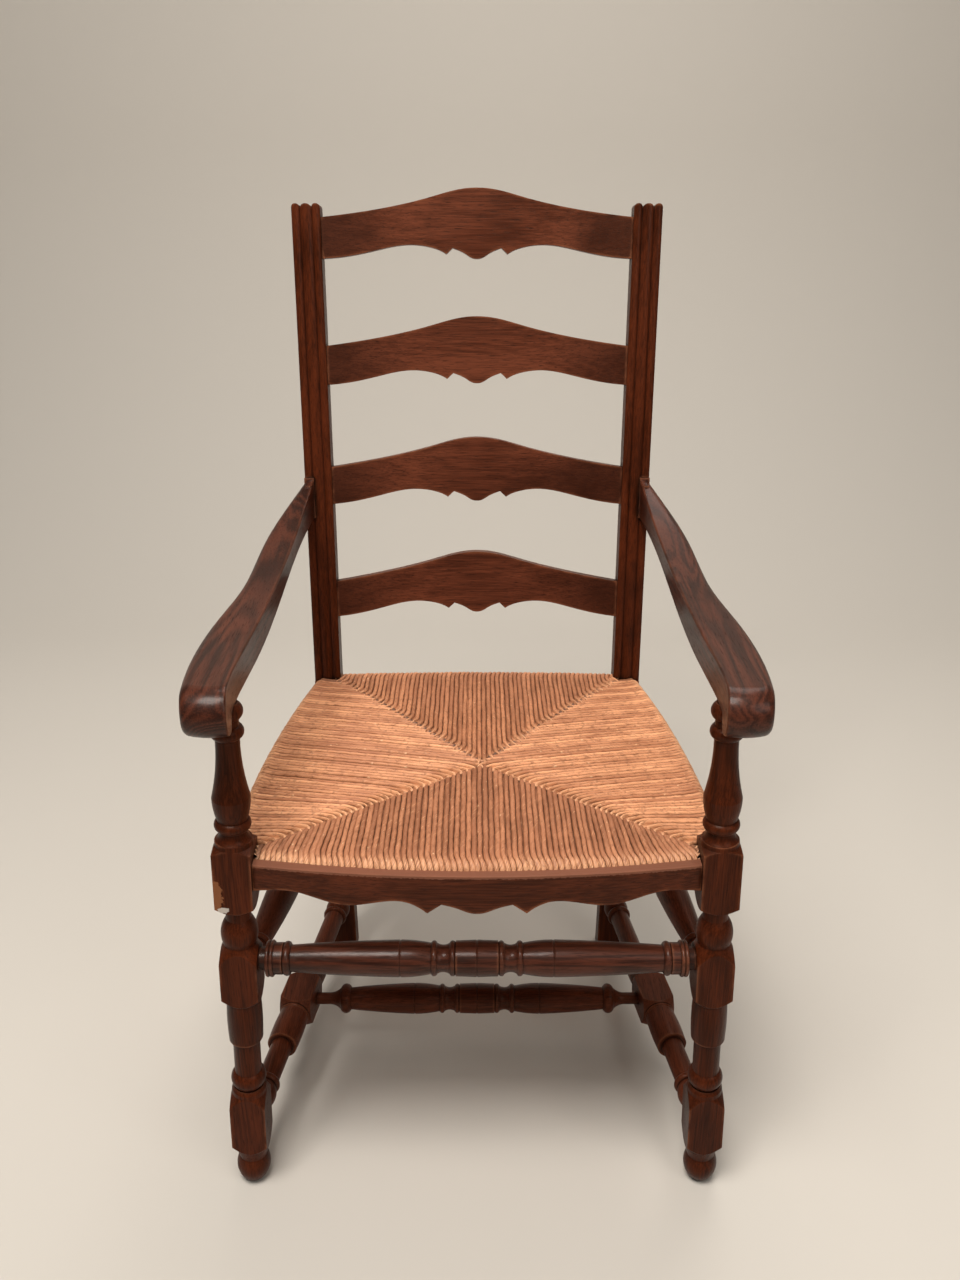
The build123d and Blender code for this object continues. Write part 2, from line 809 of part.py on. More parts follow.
def lower_side_half(run):
    """Half of a lower side stretcher, from its square block out to its domed end."""
    reach = side_block / 2 * sqrt(2) + corner_clearance
    t = Turning(0, reach)
    t.to(side_block_half, reach).to(side_flare, side_cup_radius)
    t.bead(side_bead, side_cup_radius - side_bead_depth, side_cup_radius)
    t.step(side_cup_radius - side_cup_swell)
    t.to(side_cup, side_cup_radius - side_cup_swell, side_cup_swell)
    t.step(side_shaft_radius)
    t.to(run - dome_neck - dome - side_ring - t.at, side_shaft_radius)
    t.bead(side_ring, side_shaft_radius, side_ring_radius)
    t.to(dome, dome_radius, dome_swell).to(2 * dome_neck, dome_radius)
    square = Box(side_block, side_block, t.at, align=(Align.CENTER, Align.CENTER, Align.MIN))
    return t.solid() & square


def lower_side_stretcher():
    """Right lower side stretcher, with a mortise for the cross stretcher in its block."""
    return side_stretcher(lower_side_z, cross_setback, lower_side_half) - cross_pin(fit)


def spindle_setback():
    """Middle of the upper side stretchers, half way between leg and post."""
    return (half_leg + post_setback) / 2


def upper_side_pins(clearance):
    """Tenons of the right upper side stretcher, or their mortises."""
    return side_pins(upper_side_z, spindle_setback(), clearance)


def upper_side_half(run):
    """Half of an upper side stretcher: thick in the middle, ringed near the end."""
    t = Turning(0, spindle_radius)
    t.to(spindle_belly, spindle_radius)
    t.to(run - spindle_neck - spindle_ring - t.at, spindle_end_radius, score_depth)
    t.bead(spindle_ring, spindle_end_radius, spindle_ring_radius)
    t.step(spindle_neck_radius).to(spindle_neck + spindle_ring, spindle_neck_radius)
    return t.solid()


def upper_side_stretcher():
    """Right upper side stretcher."""
    return side_stretcher(upper_side_z, spindle_setback(), upper_side_half)


cross_frame = Plane(origin=(0, cross_setback, lower_side_z), x_dir=(0, 0, 1), z_dir=(1, 0, 0))


def cross_face():
    """Frame on the inner face of the right lower side stretcher's block."""
    frames, _ = side_frames(lower_side_z, cross_setback)
    across = frames[0].y_dir
    inward = across if across.X < 0 else -across
    return Plane(origin=frames[0].origin + inward * side_block / 2, z_dir=inward)


def cross_pin(clearance=0.0):
    """Right tenon of the cross stretcher, or its mortise."""
    return pin(cross_frame, cross_face().origin.X, clearance)


def cross_stretcher():
    """Turned stretcher between the blocks of the lower side stretchers."""
    face = cross_face()
    t = swelled_half(face.origin.X - cross_neck - mushroom, cross_shaft_radius)
    t.bead(mushroom, cross_shaft_radius, mushroom_radius)
    t.to(cross_neck / 2, cross_neck_radius, -cove_depth)
    t.to(cross_neck, cross_neck_radius)
    half = keep(cross_frame * t.solid(), face) + cross_pin()
    return both_sides(half)


# Arms


arm_end_z = arm_underside + arm_end_drop + arm_end_height / 2
knuckle_radius = (arm_thickness + knuckle_drop) / 2


def arm_end_y():
    """Depth at which the arm's outlines end, inside the post."""
    return post_front_y(arm_end_z) + arm_end_height / 2 * sin(rake) + arm_housing


def arm_plan():
    """Plan outline of the right arm: a thin blade at the post, a waist, and a swell towards the knuckle."""
    inner = leg_x(arm_underside) - arm_inset
    outer = inner + arm_width
    end_outer = (post_outer_x(arm_end_z), arm_end_y())
    end_inner = (end_outer[0] - arm_end_thickness, arm_end_y())
    elbow_inner = inner - arm_elbow_inset
    elbow_outer = elbow_inner + arm_elbow_width
    waist_outer = (outer - arm_waist_inset, arm_waist)
    nose_y = -arm_nose - arm_nose_draw
    nose_inner = (inner - arm_nose_draw, nose_y)
    nose_outer = (outer - arm_nose_draw - arm_nose_taper, nose_y)
    swell = (outer, arm_swell)
    straight = (0, -1)
    forward = (arm_turn, -1)
    from_outer = (arm_end_outer_turn, -1)
    from_inner = (arm_end_inner_turn, -1)
    return make_face(
        [
            Line(end_inner, end_outer),
            Spline(end_outer, (elbow_outer, arm_elbow), waist_outer, swell, tangents=(from_outer, straight)),
            TangentArc(swell, nose_outer, tangent=straight),
            Line(nose_outer, nose_inner),
            TangentArc((inner, half_leg), nose_inner, tangent=forward),
            Spline(end_inner, (elbow_inner, arm_elbow), (inner, half_leg), tangents=(from_inner, forward)),
        ]
    )


def arm_side():
    """Side outline of the right arm: down from the post, level over the leg, round the knuckle."""
    low = arm_underside
    high = low + arm_thickness
    end_low = low + arm_end_drop
    centre_y = knuckle_radius - arm_nose
    bottom = high - 2 * knuckle_radius
    heel = -top_ring_radius
    level = (0, 1, 0)
    ahead = (0, -1, 0)
    return make_face(
        [
            Line((0, arm_end_y(), end_low), (0, arm_end_y(), end_low + arm_end_height)),
            Spline(
                (0, arm_end_y(), end_low + arm_end_height),
                (0, arm_elbow, high + arm_elbow_rise),
                (0, half_leg, high),
                tangents=((0, -1, -arm_end_fall), ahead),
            ),
            Line((0, half_leg, high), (0, centre_y, high)),
            ThreePointArc((0, centre_y, high), (0, -arm_nose, high - knuckle_radius), (0, centre_y, bottom)),
            Spline((0, centre_y, bottom), (0, heel, low), tangents=(level, level)),
            Line((0, heel, low), (0, arm_level, low)),
            Spline(
                (0, arm_level, low),
                (0, arm_elbow, high + arm_elbow_rise - arm_elbow_thickness),
                (0, arm_end_y(), end_low),
                tangents=(level, level),
            ),
        ]
    )


def knuckle_room():
    """Room that rounds the knuckle's front: a drum with a full round rim, and all behind its axis."""
    flat = knuckle_round - knuckle_radius
    rim = make_face(
        [
            Line((0, 0, -knuckle_radius), (0, 0, knuckle_radius)),
            Line((0, 0, knuckle_radius), (flat, 0, knuckle_radius)),
            ThreePointArc((flat, 0, knuckle_radius), (knuckle_round, 0, 0), (flat, 0, -knuckle_radius)),
            Line((flat, 0, -knuckle_radius), (0, 0, -knuckle_radius)),
        ]
    )
    middle_x = leg_x(arm_underside) - arm_inset + (arm_width - arm_nose_taper) / 2 - arm_nose_draw
    centre = Pos(middle_x, knuckle_round - arm_nose, arm_underside + arm_thickness - knuckle_radius)
    behind = Box(leg_spacing, post_length, post_length, align=(Align.CENTER, Align.MIN, Align.CENTER))
    return centre * (revolve(rim, Axis.Z) + behind)


def arm_end(clearance=0.0):
    """Housed end and tongue of the right arm, or the room they take in the post."""
    middle = (arm_end_z - bend_z) / cos(rake)
    height = arm_end_height * cos(rake)
    width = arm_end_thickness + 2 * clearance
    housing = Pos(-arm_end_thickness / 2, 0, 0) * Box(width, 2 * arm_housing, height + 2 * clearance)
    depth = 2 * (arm_housing + arm_tongue + clearance)
    tongue = Box(arm_tongue_thickness + 2 * clearance, depth, arm_tongue_height + 2 * clearance)
    tongue = Pos(-arm_end_thickness / 2, 0, 0) * tongue
    return [post_column * Pos(0, 0, middle) * piece for piece in (housing, tongue)]


def eased(body, sense, radius):
    """Round the long edges of the arm's outer face (sense 1) or inner face (sense -1)."""
    faces = [face for face in body.faces() if face.normal_at().X * sense > arm_facing]
    rims = ShapeList([edge for face in faces for edge in face.edges()])
    long_rims = rims.filter_by(Axis.Z, reverse=True)
    return fillet([edge for edge in long_rims if edge.center().Y < post_setback], radius)


def arm():
    """Right arm, tongued into the post and bored for the leg's tenon."""
    plan = extrude(arm_plan(), 2 * arm_underside)
    side = extrude(arm_side(), leg_spacing, dir=(1, 0, 0))
    body = keep(plan & side & knuckle_room(), post_raked_plane)
    body = eased(eased(body, 1, arm_outer_round), -1, arm_inner_round)
    housing, tongue = arm_end()
    return body + housing + tongue - arm_pin(fit)


def chair():
    """Every piece of the chair by name."""
    right = {
        "front_leg": front_leg(),
        "back_post": back_post(),
        "arm": arm(),
        "seat_rail": side_rail(),
        "upper_side_stretcher": upper_side_stretcher(),
        "lower_side_stretcher": lower_side_stretcher(),
    }
    pieces = {}
    for name, piece in right.items():
        pieces[name + "_right"] = piece
        pieces[name + "_left"] = mirror(piece, about=Plane.YZ)
    for rung, name in enumerate(slat_names):
        pieces["slat_" + name] = slat(rung)
    pieces["front_apron"] = front_apron()
    pieces["seat_rail_front"] = front_rail()
    pieces["seat_rail_back"] = back_rail()
    pieces["rush_seat"] = rush_seat()
    pieces["front_stretcher"] = front_stretcher()
    pieces["cross_stretcher"] = cross_stretcher()
    return pieces


pieces = chair()
boxes = [piece.bounding_box() for piece in pieces.values()]
front_end = min(box.min.Y for box in boxes)
back_end = max(box.max.Y for box in boxes)
centring = Pos(0, -(front_end + back_end) / 2, 0)
os.makedirs("parts", exist_ok=True)
for name, piece in pieces.items():
    export_step(centring * piece, f"parts/{name}.step")
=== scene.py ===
"""Looks of a ladder-back carver chair with a woven rush seat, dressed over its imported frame.

Metres, +Z up, the sitter faces -Y, and the origin lies on the floor under the chair's middle.
The turned and sawn pieces keep their own shapes and get stained, waxed wood. The seat's four
rush panels are worked out here, strand by strand, and stand for the plain seat solid.
"""

import logging
import math
from collections.abc import Iterable
from dataclasses import dataclass, field
from enum import Enum
from typing import Any

import bpy
import numpy as np
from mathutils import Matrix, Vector


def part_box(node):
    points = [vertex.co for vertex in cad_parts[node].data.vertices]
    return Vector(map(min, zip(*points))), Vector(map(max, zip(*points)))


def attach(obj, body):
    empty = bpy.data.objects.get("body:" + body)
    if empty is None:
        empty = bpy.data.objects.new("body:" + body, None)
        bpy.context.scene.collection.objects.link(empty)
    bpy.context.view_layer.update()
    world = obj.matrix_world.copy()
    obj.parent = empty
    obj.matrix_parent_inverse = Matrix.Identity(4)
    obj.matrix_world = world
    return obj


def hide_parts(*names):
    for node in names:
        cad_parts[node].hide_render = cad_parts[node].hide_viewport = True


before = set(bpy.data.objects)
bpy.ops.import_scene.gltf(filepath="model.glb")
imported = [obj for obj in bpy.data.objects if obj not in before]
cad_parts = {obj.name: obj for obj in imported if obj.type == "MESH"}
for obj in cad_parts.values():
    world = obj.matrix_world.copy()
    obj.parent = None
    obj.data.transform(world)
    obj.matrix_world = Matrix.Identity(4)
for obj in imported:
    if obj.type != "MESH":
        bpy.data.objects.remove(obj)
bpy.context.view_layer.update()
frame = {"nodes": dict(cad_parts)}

LOG = logging.getLogger("chair")
Colour = tuple[float, float, float]
Place = tuple[float, float, float]
Span = tuple[float, float]
Socket = bpy.types.NodeSocket


class Axis(Enum):
    """The way the grain runs, with the turn that brings local z onto it."""

    X = (0.0, math.pi / 2, 0.0)
    Y = (math.pi / 2, 0.0, 0.0)
    Z = (0.0, 0.0, 0.0)


class Side(Enum):
    """The rail that a rush panel is wound on."""

    FRONT = "front"
    BACK = "back"
    LEFT = "left"
    RIGHT = "right"

    @property
    def way(self) -> float:
        """Sense of a side panel across the seat: 1 on the right and -1 on the left."""
        return 1.0 if self is Side.RIGHT else -1.0


# Shader graphs


class Graph:
    """A node tree that is filled one node at a time."""

    def __init__(self, tree: bpy.types.NodeTree) -> None:
        """Keep the tree and empty it."""
        self.tree = tree
        tree.nodes.clear()

    def add(self, kind: str, inputs: dict[Any, Any] | None = None,
            **settings: Any) -> bpy.types.Node:
        """Add a node.

        Args:
            kind: the node's type name.
            inputs: values or sockets for its inputs, by name or number.
            settings: the node's own properties.

        Returns:
            The node.
        """
        node = self.tree.nodes.new(kind)
        for name, value in settings.items():
            setattr(node, name, value)
        self.fill(node, inputs or {})
        return node

    def fill(self, node: bpy.types.Node, inputs: dict[Any, Any]) -> None:
        """Link sockets to a node's inputs, and set plain values on them."""
        for key, value in inputs.items():
            if isinstance(value, Socket):
                self.tree.links.new(value, node.inputs[key])
            else:
                node.inputs[key].default_value = value

    def math(self, operation: str, *values: Any) -> Socket:
        """One arithmetic step on sockets or numbers."""
        return self.add("ShaderNodeMath", dict(enumerate(values)), operation=operation).outputs[0]

    def noise(self, vector: Any, scale: float, detail: float = 3.0, swirl: float = 0.0) -> Socket:
        """Soft noise from 0 to 1 about one half."""
        inputs = {"Vector": vector, "Scale": scale, "Detail": detail, "Distortion": swirl}
        return self.add("ShaderNodeTexNoise", inputs).outputs[0]

    def stretch(self, vector: Any, by: Place) -> Socket:
        """Coordinates times a factor along each axis."""
        return self.add("ShaderNodeVectorMath", {0: vector, 1: by}, operation="MULTIPLY").outputs[0]

    def drawn(self, vector: Any, along: float) -> Socket:
        """Coordinates with local z scaled, so that noise on them is drawn out along the grain."""
        return self.stretch(vector, (1.0, 1.0, along))

    def laid(self, across: Socket, run: Socket, scales: Span, detail: float) -> Socket:
        """Noise over a strand map, with a scale of its own across and along."""
        ways = (self.math("MULTIPLY", *pair) for pair in zip((across, run), scales))
        spread = self.add("ShaderNodeCombineXYZ", dict(enumerate(ways)))
        return self.noise(spread.outputs[0], 1.0, detail)

    def ramp(self, value: Any, limits: Span, to: Span = (0.0, 1.0)) -> Socket:
        """A smooth step of value between two limits, put out between the two ends of to."""
        inputs = {"Value": value, "From Min": limits[0], "From Max": limits[1]}
        inputs |= {"To Min": to[0], "To Max": to[1]}
        return self.add("ShaderNodeMapRange", inputs, interpolation_type="SMOOTHSTEP").outputs[0]

    def mix(self, share: Any, first: Any, second: Any) -> Socket:
        """Two colours mixed by a share."""
        # The mix node has a set of sockets for each kind of value. Its colours go in at 6 and 7.
        inputs = {0: share, 6: opaque(first), 7: opaque(second)}
        return self.add("ShaderNodeMix", inputs, data_type="RGBA").outputs[2]

    def layer(self, colour: Socket, coats: Iterable[tuple[Socket, Colour]]) -> Socket:
        """A colour under coats of other colours, each laid on by its own mask."""
        for mask, coat in coats:
            colour = self.mix(mask, colour, coat)
        return colour

    def group(self, tree: bpy.types.NodeTree, inputs: dict[str, Any]) -> Any:
        """Outputs of a shared shader group with these inputs."""
        return self.add("ShaderNodeGroup", inputs, node_tree=tree).outputs

    def bump(self, strength: float, distance: float, inputs: dict[str, Any]) -> Socket:
        """Normal of a surface raised by a height."""
        inputs = {"Strength": strength, "Distance": distance} | inputs
        return self.add("ShaderNodeBump", inputs).outputs[0]

    def surface(self, inputs: dict[str, Any]) -> None:
        """End the tree with one surface shader."""
        shader = self.add("ShaderNodeBsdfPrincipled", inputs)
        self.add("ShaderNodeOutputMaterial", {"Surface": shader.outputs[0]})


def opaque(colour: Any) -> Any:
    """A colour with full alpha, or a socket as it is."""
    return colour if isinstance(colour, Socket) else (*colour, 1.0)


def shader_group(name: str, inputs: dict[str, str],
                 outputs: Iterable[str]) -> tuple[Graph, Any, bpy.types.Node]:
    """Start a shader node group.

    Args:
        name: the group's name.
        inputs: socket types by input name.
        outputs: names of the values it puts out.

    Returns:
        The graph to fill, the sockets of its inputs and its output node.
    """
    tree = bpy.data.node_groups.new(name, "ShaderNodeTree")
    for way, sockets in (("INPUT", inputs), ("OUTPUT", dict.fromkeys(outputs, "Float"))):
        for socket, kind in sockets.items():
            tree.interface.new_socket(name=socket, in_out=way, socket_type="NodeSocket" + kind)
    graph = Graph(tree)
    return graph, graph.add("NodeGroupInput").outputs, graph.add("NodeGroupOutput")


@dataclass(frozen=True)
class WoodFigure:
    """Figure of open-pored wood: noise scales for a metre, and each one's factor along the grain."""

    ring_scale: float = 16.0
    ring_along: float = 0.07
    ring_count: float = 90.0
    ring_tone: float = 0.075
    streak_scale: float = 620.0
    streak_along: float = 0.030
    pore_scale: float = 1300.0
    pore_along: float = 0.05
    pore_limits: Span = (0.57, 0.70)
    pore_height: float = -0.8
    patch_scale: float = 14.0
    patch_along: float = 0.45
    patch_tone: float = 0.90
    swirl: float = 0.4


@dataclass(frozen=True)
class WearSigns:
    """Limits of the mask of worn edges, and how many looks each point takes for it and for the corner
    mask of grime and painted shade.
    """

    looks: int = 6
    edge_limits: Span = (0.10, 0.50)
    rub_scale: float = 45.0
    rub_limits: Span = (0.32, 0.62)


@dataclass(frozen=True)
class RushTwist:
    """Figure of twisted rush: scales across and along a strand of fibres, drift and specks."""

    fibres: Span = (7.0, 55.0)
    drift: Span = (7.3, 24.0)
    specks: Span = (2.3, 150.0)
    speck_limits: Span = (0.54, 0.68)
    rope_height: float = 0.22


@dataclass
class Effects:
    """Shader groups that several finishes share."""

    figure: WoodFigure = WoodFigure()
    signs: WearSigns = WearSigns()
    twist: RushTwist = RushTwist()
    grain: bpy.types.NodeTree = field(init=False)
    wear_and_shade: bpy.types.NodeTree = field(init=False)
    rush: bpy.types.NodeTree = field(init=False)

    def __post_init__(self) -> None:
        """Make each group once."""
        self.grain = self.make_grain()
        self.wear_and_shade = self.make_wear_and_shade()
        self.rush = self.make_rush()

    def make_grain(self) -> bpy.types.NodeTree:
        """Open-pored wood along local z: growth rings, streaks, short dark pores and soft patches.

        Rings are the contour lines of slow noise that is drawn out along the grain, so they
        make long arches on a flat face and near-straight lines on a narrow one.
        """
        figure = self.figure
        inputs = {"Vector": "Vector", "Ring Share": "Float"}
        g, given, out = shader_group("wood_grain", inputs, ("Tone", "Pores", "Patch", "Height"))
        at = given["Vector"]
        slow = g.noise(g.drawn(at, figure.ring_along), figure.ring_scale, 2.0, figure.swirl)
        streaks = g.noise(g.drawn(at, figure.streak_along), figure.streak_scale, 3.0)
        fleck = g.noise(g.drawn(at, figure.pore_along), figure.pore_scale, 1.0)
        patch = g.noise(g.drawn(at, figure.patch_along), figure.patch_scale, 2.0, figure.swirl)
        pores = g.ramp(fleck, figure.pore_limits)
        rings = g.math("SINE", g.math("MULTIPLY", slow, figure.ring_count))
        rings = g.math("MULTIPLY", rings, given["Ring Share"])
        tone = g.math("MULTIPLY_ADD", rings, figure.ring_tone, streaks)
        tone = g.math("MULTIPLY_ADD", g.math("SUBTRACT", patch, 0.5), figure.patch_tone, tone)
        height = g.math("MULTIPLY_ADD", pores, figure.pore_height, streaks)
        g.fill(out, {"Tone": tone, "Pores": pores, "Patch": patch, "Height": height})
        return g.tree

    def make_wear_and_shade(self) -> bpy.types.NodeTree:
        """Masks of rubbed edges, and of grime and painted shade in corners, from how open the wood
        lies about a point.

        A point near an outer edge sees air through the wood, so a look inwards finds the edges.
        A look outwards finds the grooves and the corners where pieces meet, which lie in shade;
        darkening them paints shade as well as grime.
        """
        signs = self.signs
        inputs = {"Vector": "Vector", "Edge Reach": "Float", "Corner Reach": "Float"}
        g, given, out = shader_group("edge_wear_and_corner_shade", inputs, ("Edge", "Corner"))
        inward, outward = ({"Distance": given[reach]} for reach in ("Edge Reach", "Corner Reach"))
        look = "ShaderNodeAmbientOcclusion"
        edge = g.add(look, inward, samples=signs.looks, inside=True, only_local=True).outputs["AO"]
        # Corner mask: grooves and joins where shade falls, darkened as grime and painted shade.
        corner = g.add(look, outward, samples=signs.looks).outputs["AO"]
        rub = g.noise(given["Vector"], signs.rub_scale, 5.0)
        worn = g.ramp(g.math("SUBTRACT", 1.0, edge), signs.edge_limits)
        worn = g.math("MULTIPLY", worn, g.ramp(rub, signs.rub_limits))
        g.fill(out, {"Edge": worn, "Corner": g.math("SUBTRACT", 1.0, corner)})
        return g.tree

    def make_rush(self) -> bpy.types.NodeTree:
        """Twisted rush along a strand map, u counting strands and v in metres along them.

        Each strand has its own tone. Fibres run round it on a slant, and its tone drifts along it.
        """
        twist = self.twist
        inputs = {"Strand": "Vector", "Turns": "Float", "Spread": "Float"}
        g, given, out = shader_group("rush_twist", inputs, ("Tone", "Fibre", "Fleck", "Height"))
        across, run, _ = g.add("ShaderNodeSeparateXYZ", {0: given["Strand"]}).outputs
        number = g.math("FLOOR", across)
        own = g.add("ShaderNodeTexWhiteNoise", {"W": number}, noise_dimensions="1D").outputs["Value"]
        slant = g.math("MULTIPLY_ADD", run, given["Turns"], across)
        fibre = g.laid(slant, run, twist.fibres, 4.0)
        slow = g.laid(number, run, twist.drift, 2.0)
        speck = g.laid(across, run, twist.specks, 3.0)
        ropes = g.math("SINE", g.math("MULTIPLY", slant, 2.0 * math.pi))
        tone = g.math("MULTIPLY_ADD", g.math("SUBTRACT", own, 0.5), given["Spread"], slow)
        height = g.math("MULTIPLY_ADD", ropes, twist.rope_height, fibre)
        fleck = g.ramp(speck, twist.speck_limits)
        g.fill(out, {"Tone": tone, "Fibre": fibre, "Fleck": fleck, "Height": height})
        return g.tree


# Finishes


def new_material(name: str) -> tuple[bpy.types.Material, Graph]:
    """A material with an empty node tree."""
    material = bpy.data.materials.new(name)
    material.use_nodes = True
    return material, Graph(material.node_tree)


@dataclass(frozen=True)
class WearAndHighlightSpot:
    """A pale place on a piece, as a rough ball drawn out along z: chips where the stain is knocked
    off, and strips of wear and painted highlight.
    """

    at: Place
    radius: float
    tall: float
    colour: Colour
    share: float = 0.85
    ragged_scale: float = 340.0
    ragged: float = 1.4
    limits: Span = (1.50, 1.70)

    def mask(self, g: Graph, place: Socket) -> Socket:
        """Mask of the spot: the scaled distance to it, roughened by noise."""
        away = g.add("ShaderNodeVectorMath", {0: place, 1: self.at}, operation="SUBTRACT").outputs[0]
        scaled = g.stretch(away, (1.0 / self.radius, 1.0 / self.radius, 1.0 / self.tall))
        far = g.add("ShaderNodeVectorMath", {0: scaled}, operation="LENGTH").outputs["Value"]
        rough = g.math("MULTIPLY_ADD", g.noise(place, self.ragged_scale, 4.0), self.ragged, far)
        return g.ramp(rough, self.limits, (self.share, 0.0))


@dataclass(frozen=True)
class StainedWood:
    """Dark reddish-brown stain under worn satin wax."""

    dark: Colour = (0.050, 0.0126, 0.0056)
    light: Colour = (0.138, 0.0365, 0.0165)
    pore: Colour = (0.018, 0.0040, 0.0017)
    # Colour of rubbed edges; on the apron's lit upper edge it is also painted highlight.
    rubbed_and_lit: Colour = (0.25, 0.086, 0.040)
    # Colour of grime and painted shade in grooves and where pieces meet.
    grime_and_shade: Colour = (0.0070, 0.0022, 0.0012)
    stain: Colour = (0.022, 0.0052, 0.0022)
    sheen_tint: Colour = (1.0, 0.74, 0.56)
    specular: float = 0.12
    wax: float = 0.07
    wax_roughness: float = 0.20
    tone_limits: Span = (0.12, 0.88)
    cloud_scale: float = 11.0
    cloud_along: float = 0.55
    cloud_swirl: float = 0.6
    cloud_limits: Span = (0.52, 0.74)
    cloud_share: float = 0.62
    pore_share: float = 0.65
    edge_share: float = 0.62
    grime_and_shade_share: float = 0.90
    grime_and_shade_limits: Span = (0.10, 0.50)
    rings: float = 1.0
    end_shade: float = 0.0
    end_start: float = 0.080
    end_full: float = 0.190
    round_over: float = 0.0012
    round_looks: int = 4
    edge_reach: float = 0.004
    corner_reach: float = 0.008
    patch_limits: Span = (0.3, 0.7)
    roughness: Span = (0.30, 0.46)
    pore_roughness: float = 0.18
    grime_roughness: float = 0.25
    grain_strength: float = 0.35
    grain_depth: float = 0.0004

    def material(self, name: str, effects: Effects, axis: Axis, shift: Place,
                 spots: tuple[WearAndHighlightSpot, ...] = ()) -> bpy.types.Material:
        """Make the finish for one piece.

        Args:
            name: the material's name.
            effects: the shared shader groups.
            axis: the way the grain runs.
            shift: where in the wood the piece is cut from, so that no two show the same figure.
            spots: pale places on it, chips knocked bare and strips of wear and painted highlight, if
                the piece has any.

        Returns:
            The material.
        """
        material, g = new_material(name)
        place = g.add("ShaderNodeTexCoord").outputs["Object"]
        cut = {"Vector": place, "Location": shift, "Rotation": axis.value}
        along = g.add("ShaderNodeMapping", cut).outputs[0]
        grain = g.group(effects.grain, {"Vector": along, "Ring Share": self.rings})
        reaches = {"Edge Reach": self.edge_reach, "Corner Reach": self.corner_reach}
        wear_and_shade = g.group(effects.wear_and_shade, {"Vector": place} | reaches)
        # Grime and painted shade: darker in grooves and corners, where shade falls.
        grime_and_shade = g.ramp(wear_and_shade["Corner"], self.grime_and_shade_limits)
        cloud = g.noise(g.drawn(along, self.cloud_along), self.cloud_scale, 3.0, self.cloud_swirl)
        coats = [(g.ramp(cloud, self.cloud_limits, (0.0, self.cloud_share)), self.stain)]
        if self.end_shade > 0.0:
            coats.append((self.end_mask(g, place, cloud), self.stain))
        coats += [
            (g.math("MULTIPLY", grain["Pores"], self.pore_share), self.pore),
            (g.math("MULTIPLY", grime_and_shade, self.grime_and_shade_share), self.grime_and_shade),
            (g.math("MULTIPLY", wear_and_shade["Edge"], self.edge_share), self.rubbed_and_lit),
        ]
        coats += [(spot.mask(g, place), spot.colour) for spot in spots]
        colour = g.mix(g.ramp(grain["Tone"], self.tone_limits), self.dark, self.light)
        rough = g.ramp(grain["Patch"], self.patch_limits, self.roughness)
        rough = g.math("MULTIPLY_ADD", grain["Pores"], self.pore_roughness, rough)
        rough = g.math("MULTIPLY_ADD", grime_and_shade, self.grime_roughness, rough)
        eased = g.add("ShaderNodeBevel", {"Radius": self.round_over}, samples=self.round_looks)
        relief = {"Height": grain["Height"], "Normal": eased.outputs[0]}
        g.surface({
            "Base Color": g.layer(colour, coats),
            "Roughness": rough,
            "Normal": g.bump(self.grain_strength, self.grain_depth, relief),
            "Specular IOR Level": self.specular,
            "Specular Tint": opaque(self.sheen_tint),
            "Coat Weight": self.wax,
            "Coat Roughness": self.wax_roughness,
        })
        return material

    def end_mask(self, g: Graph, place: Socket, cloud: Socket) -> Socket:
        """Mask of a piece's darker ends: the distance from its middle, made uneven by noise."""
        out = g.math("ABSOLUTE", g.add("ShaderNodeSeparateXYZ", {0: place}).outputs[0])
        out = g.math("MULTIPLY_ADD", g.math("SUBTRACT", cloud, 0.5), self.end_start, out)
        return g.ramp(out, (self.end_start, self.end_full), (0.0, self.end_shade))


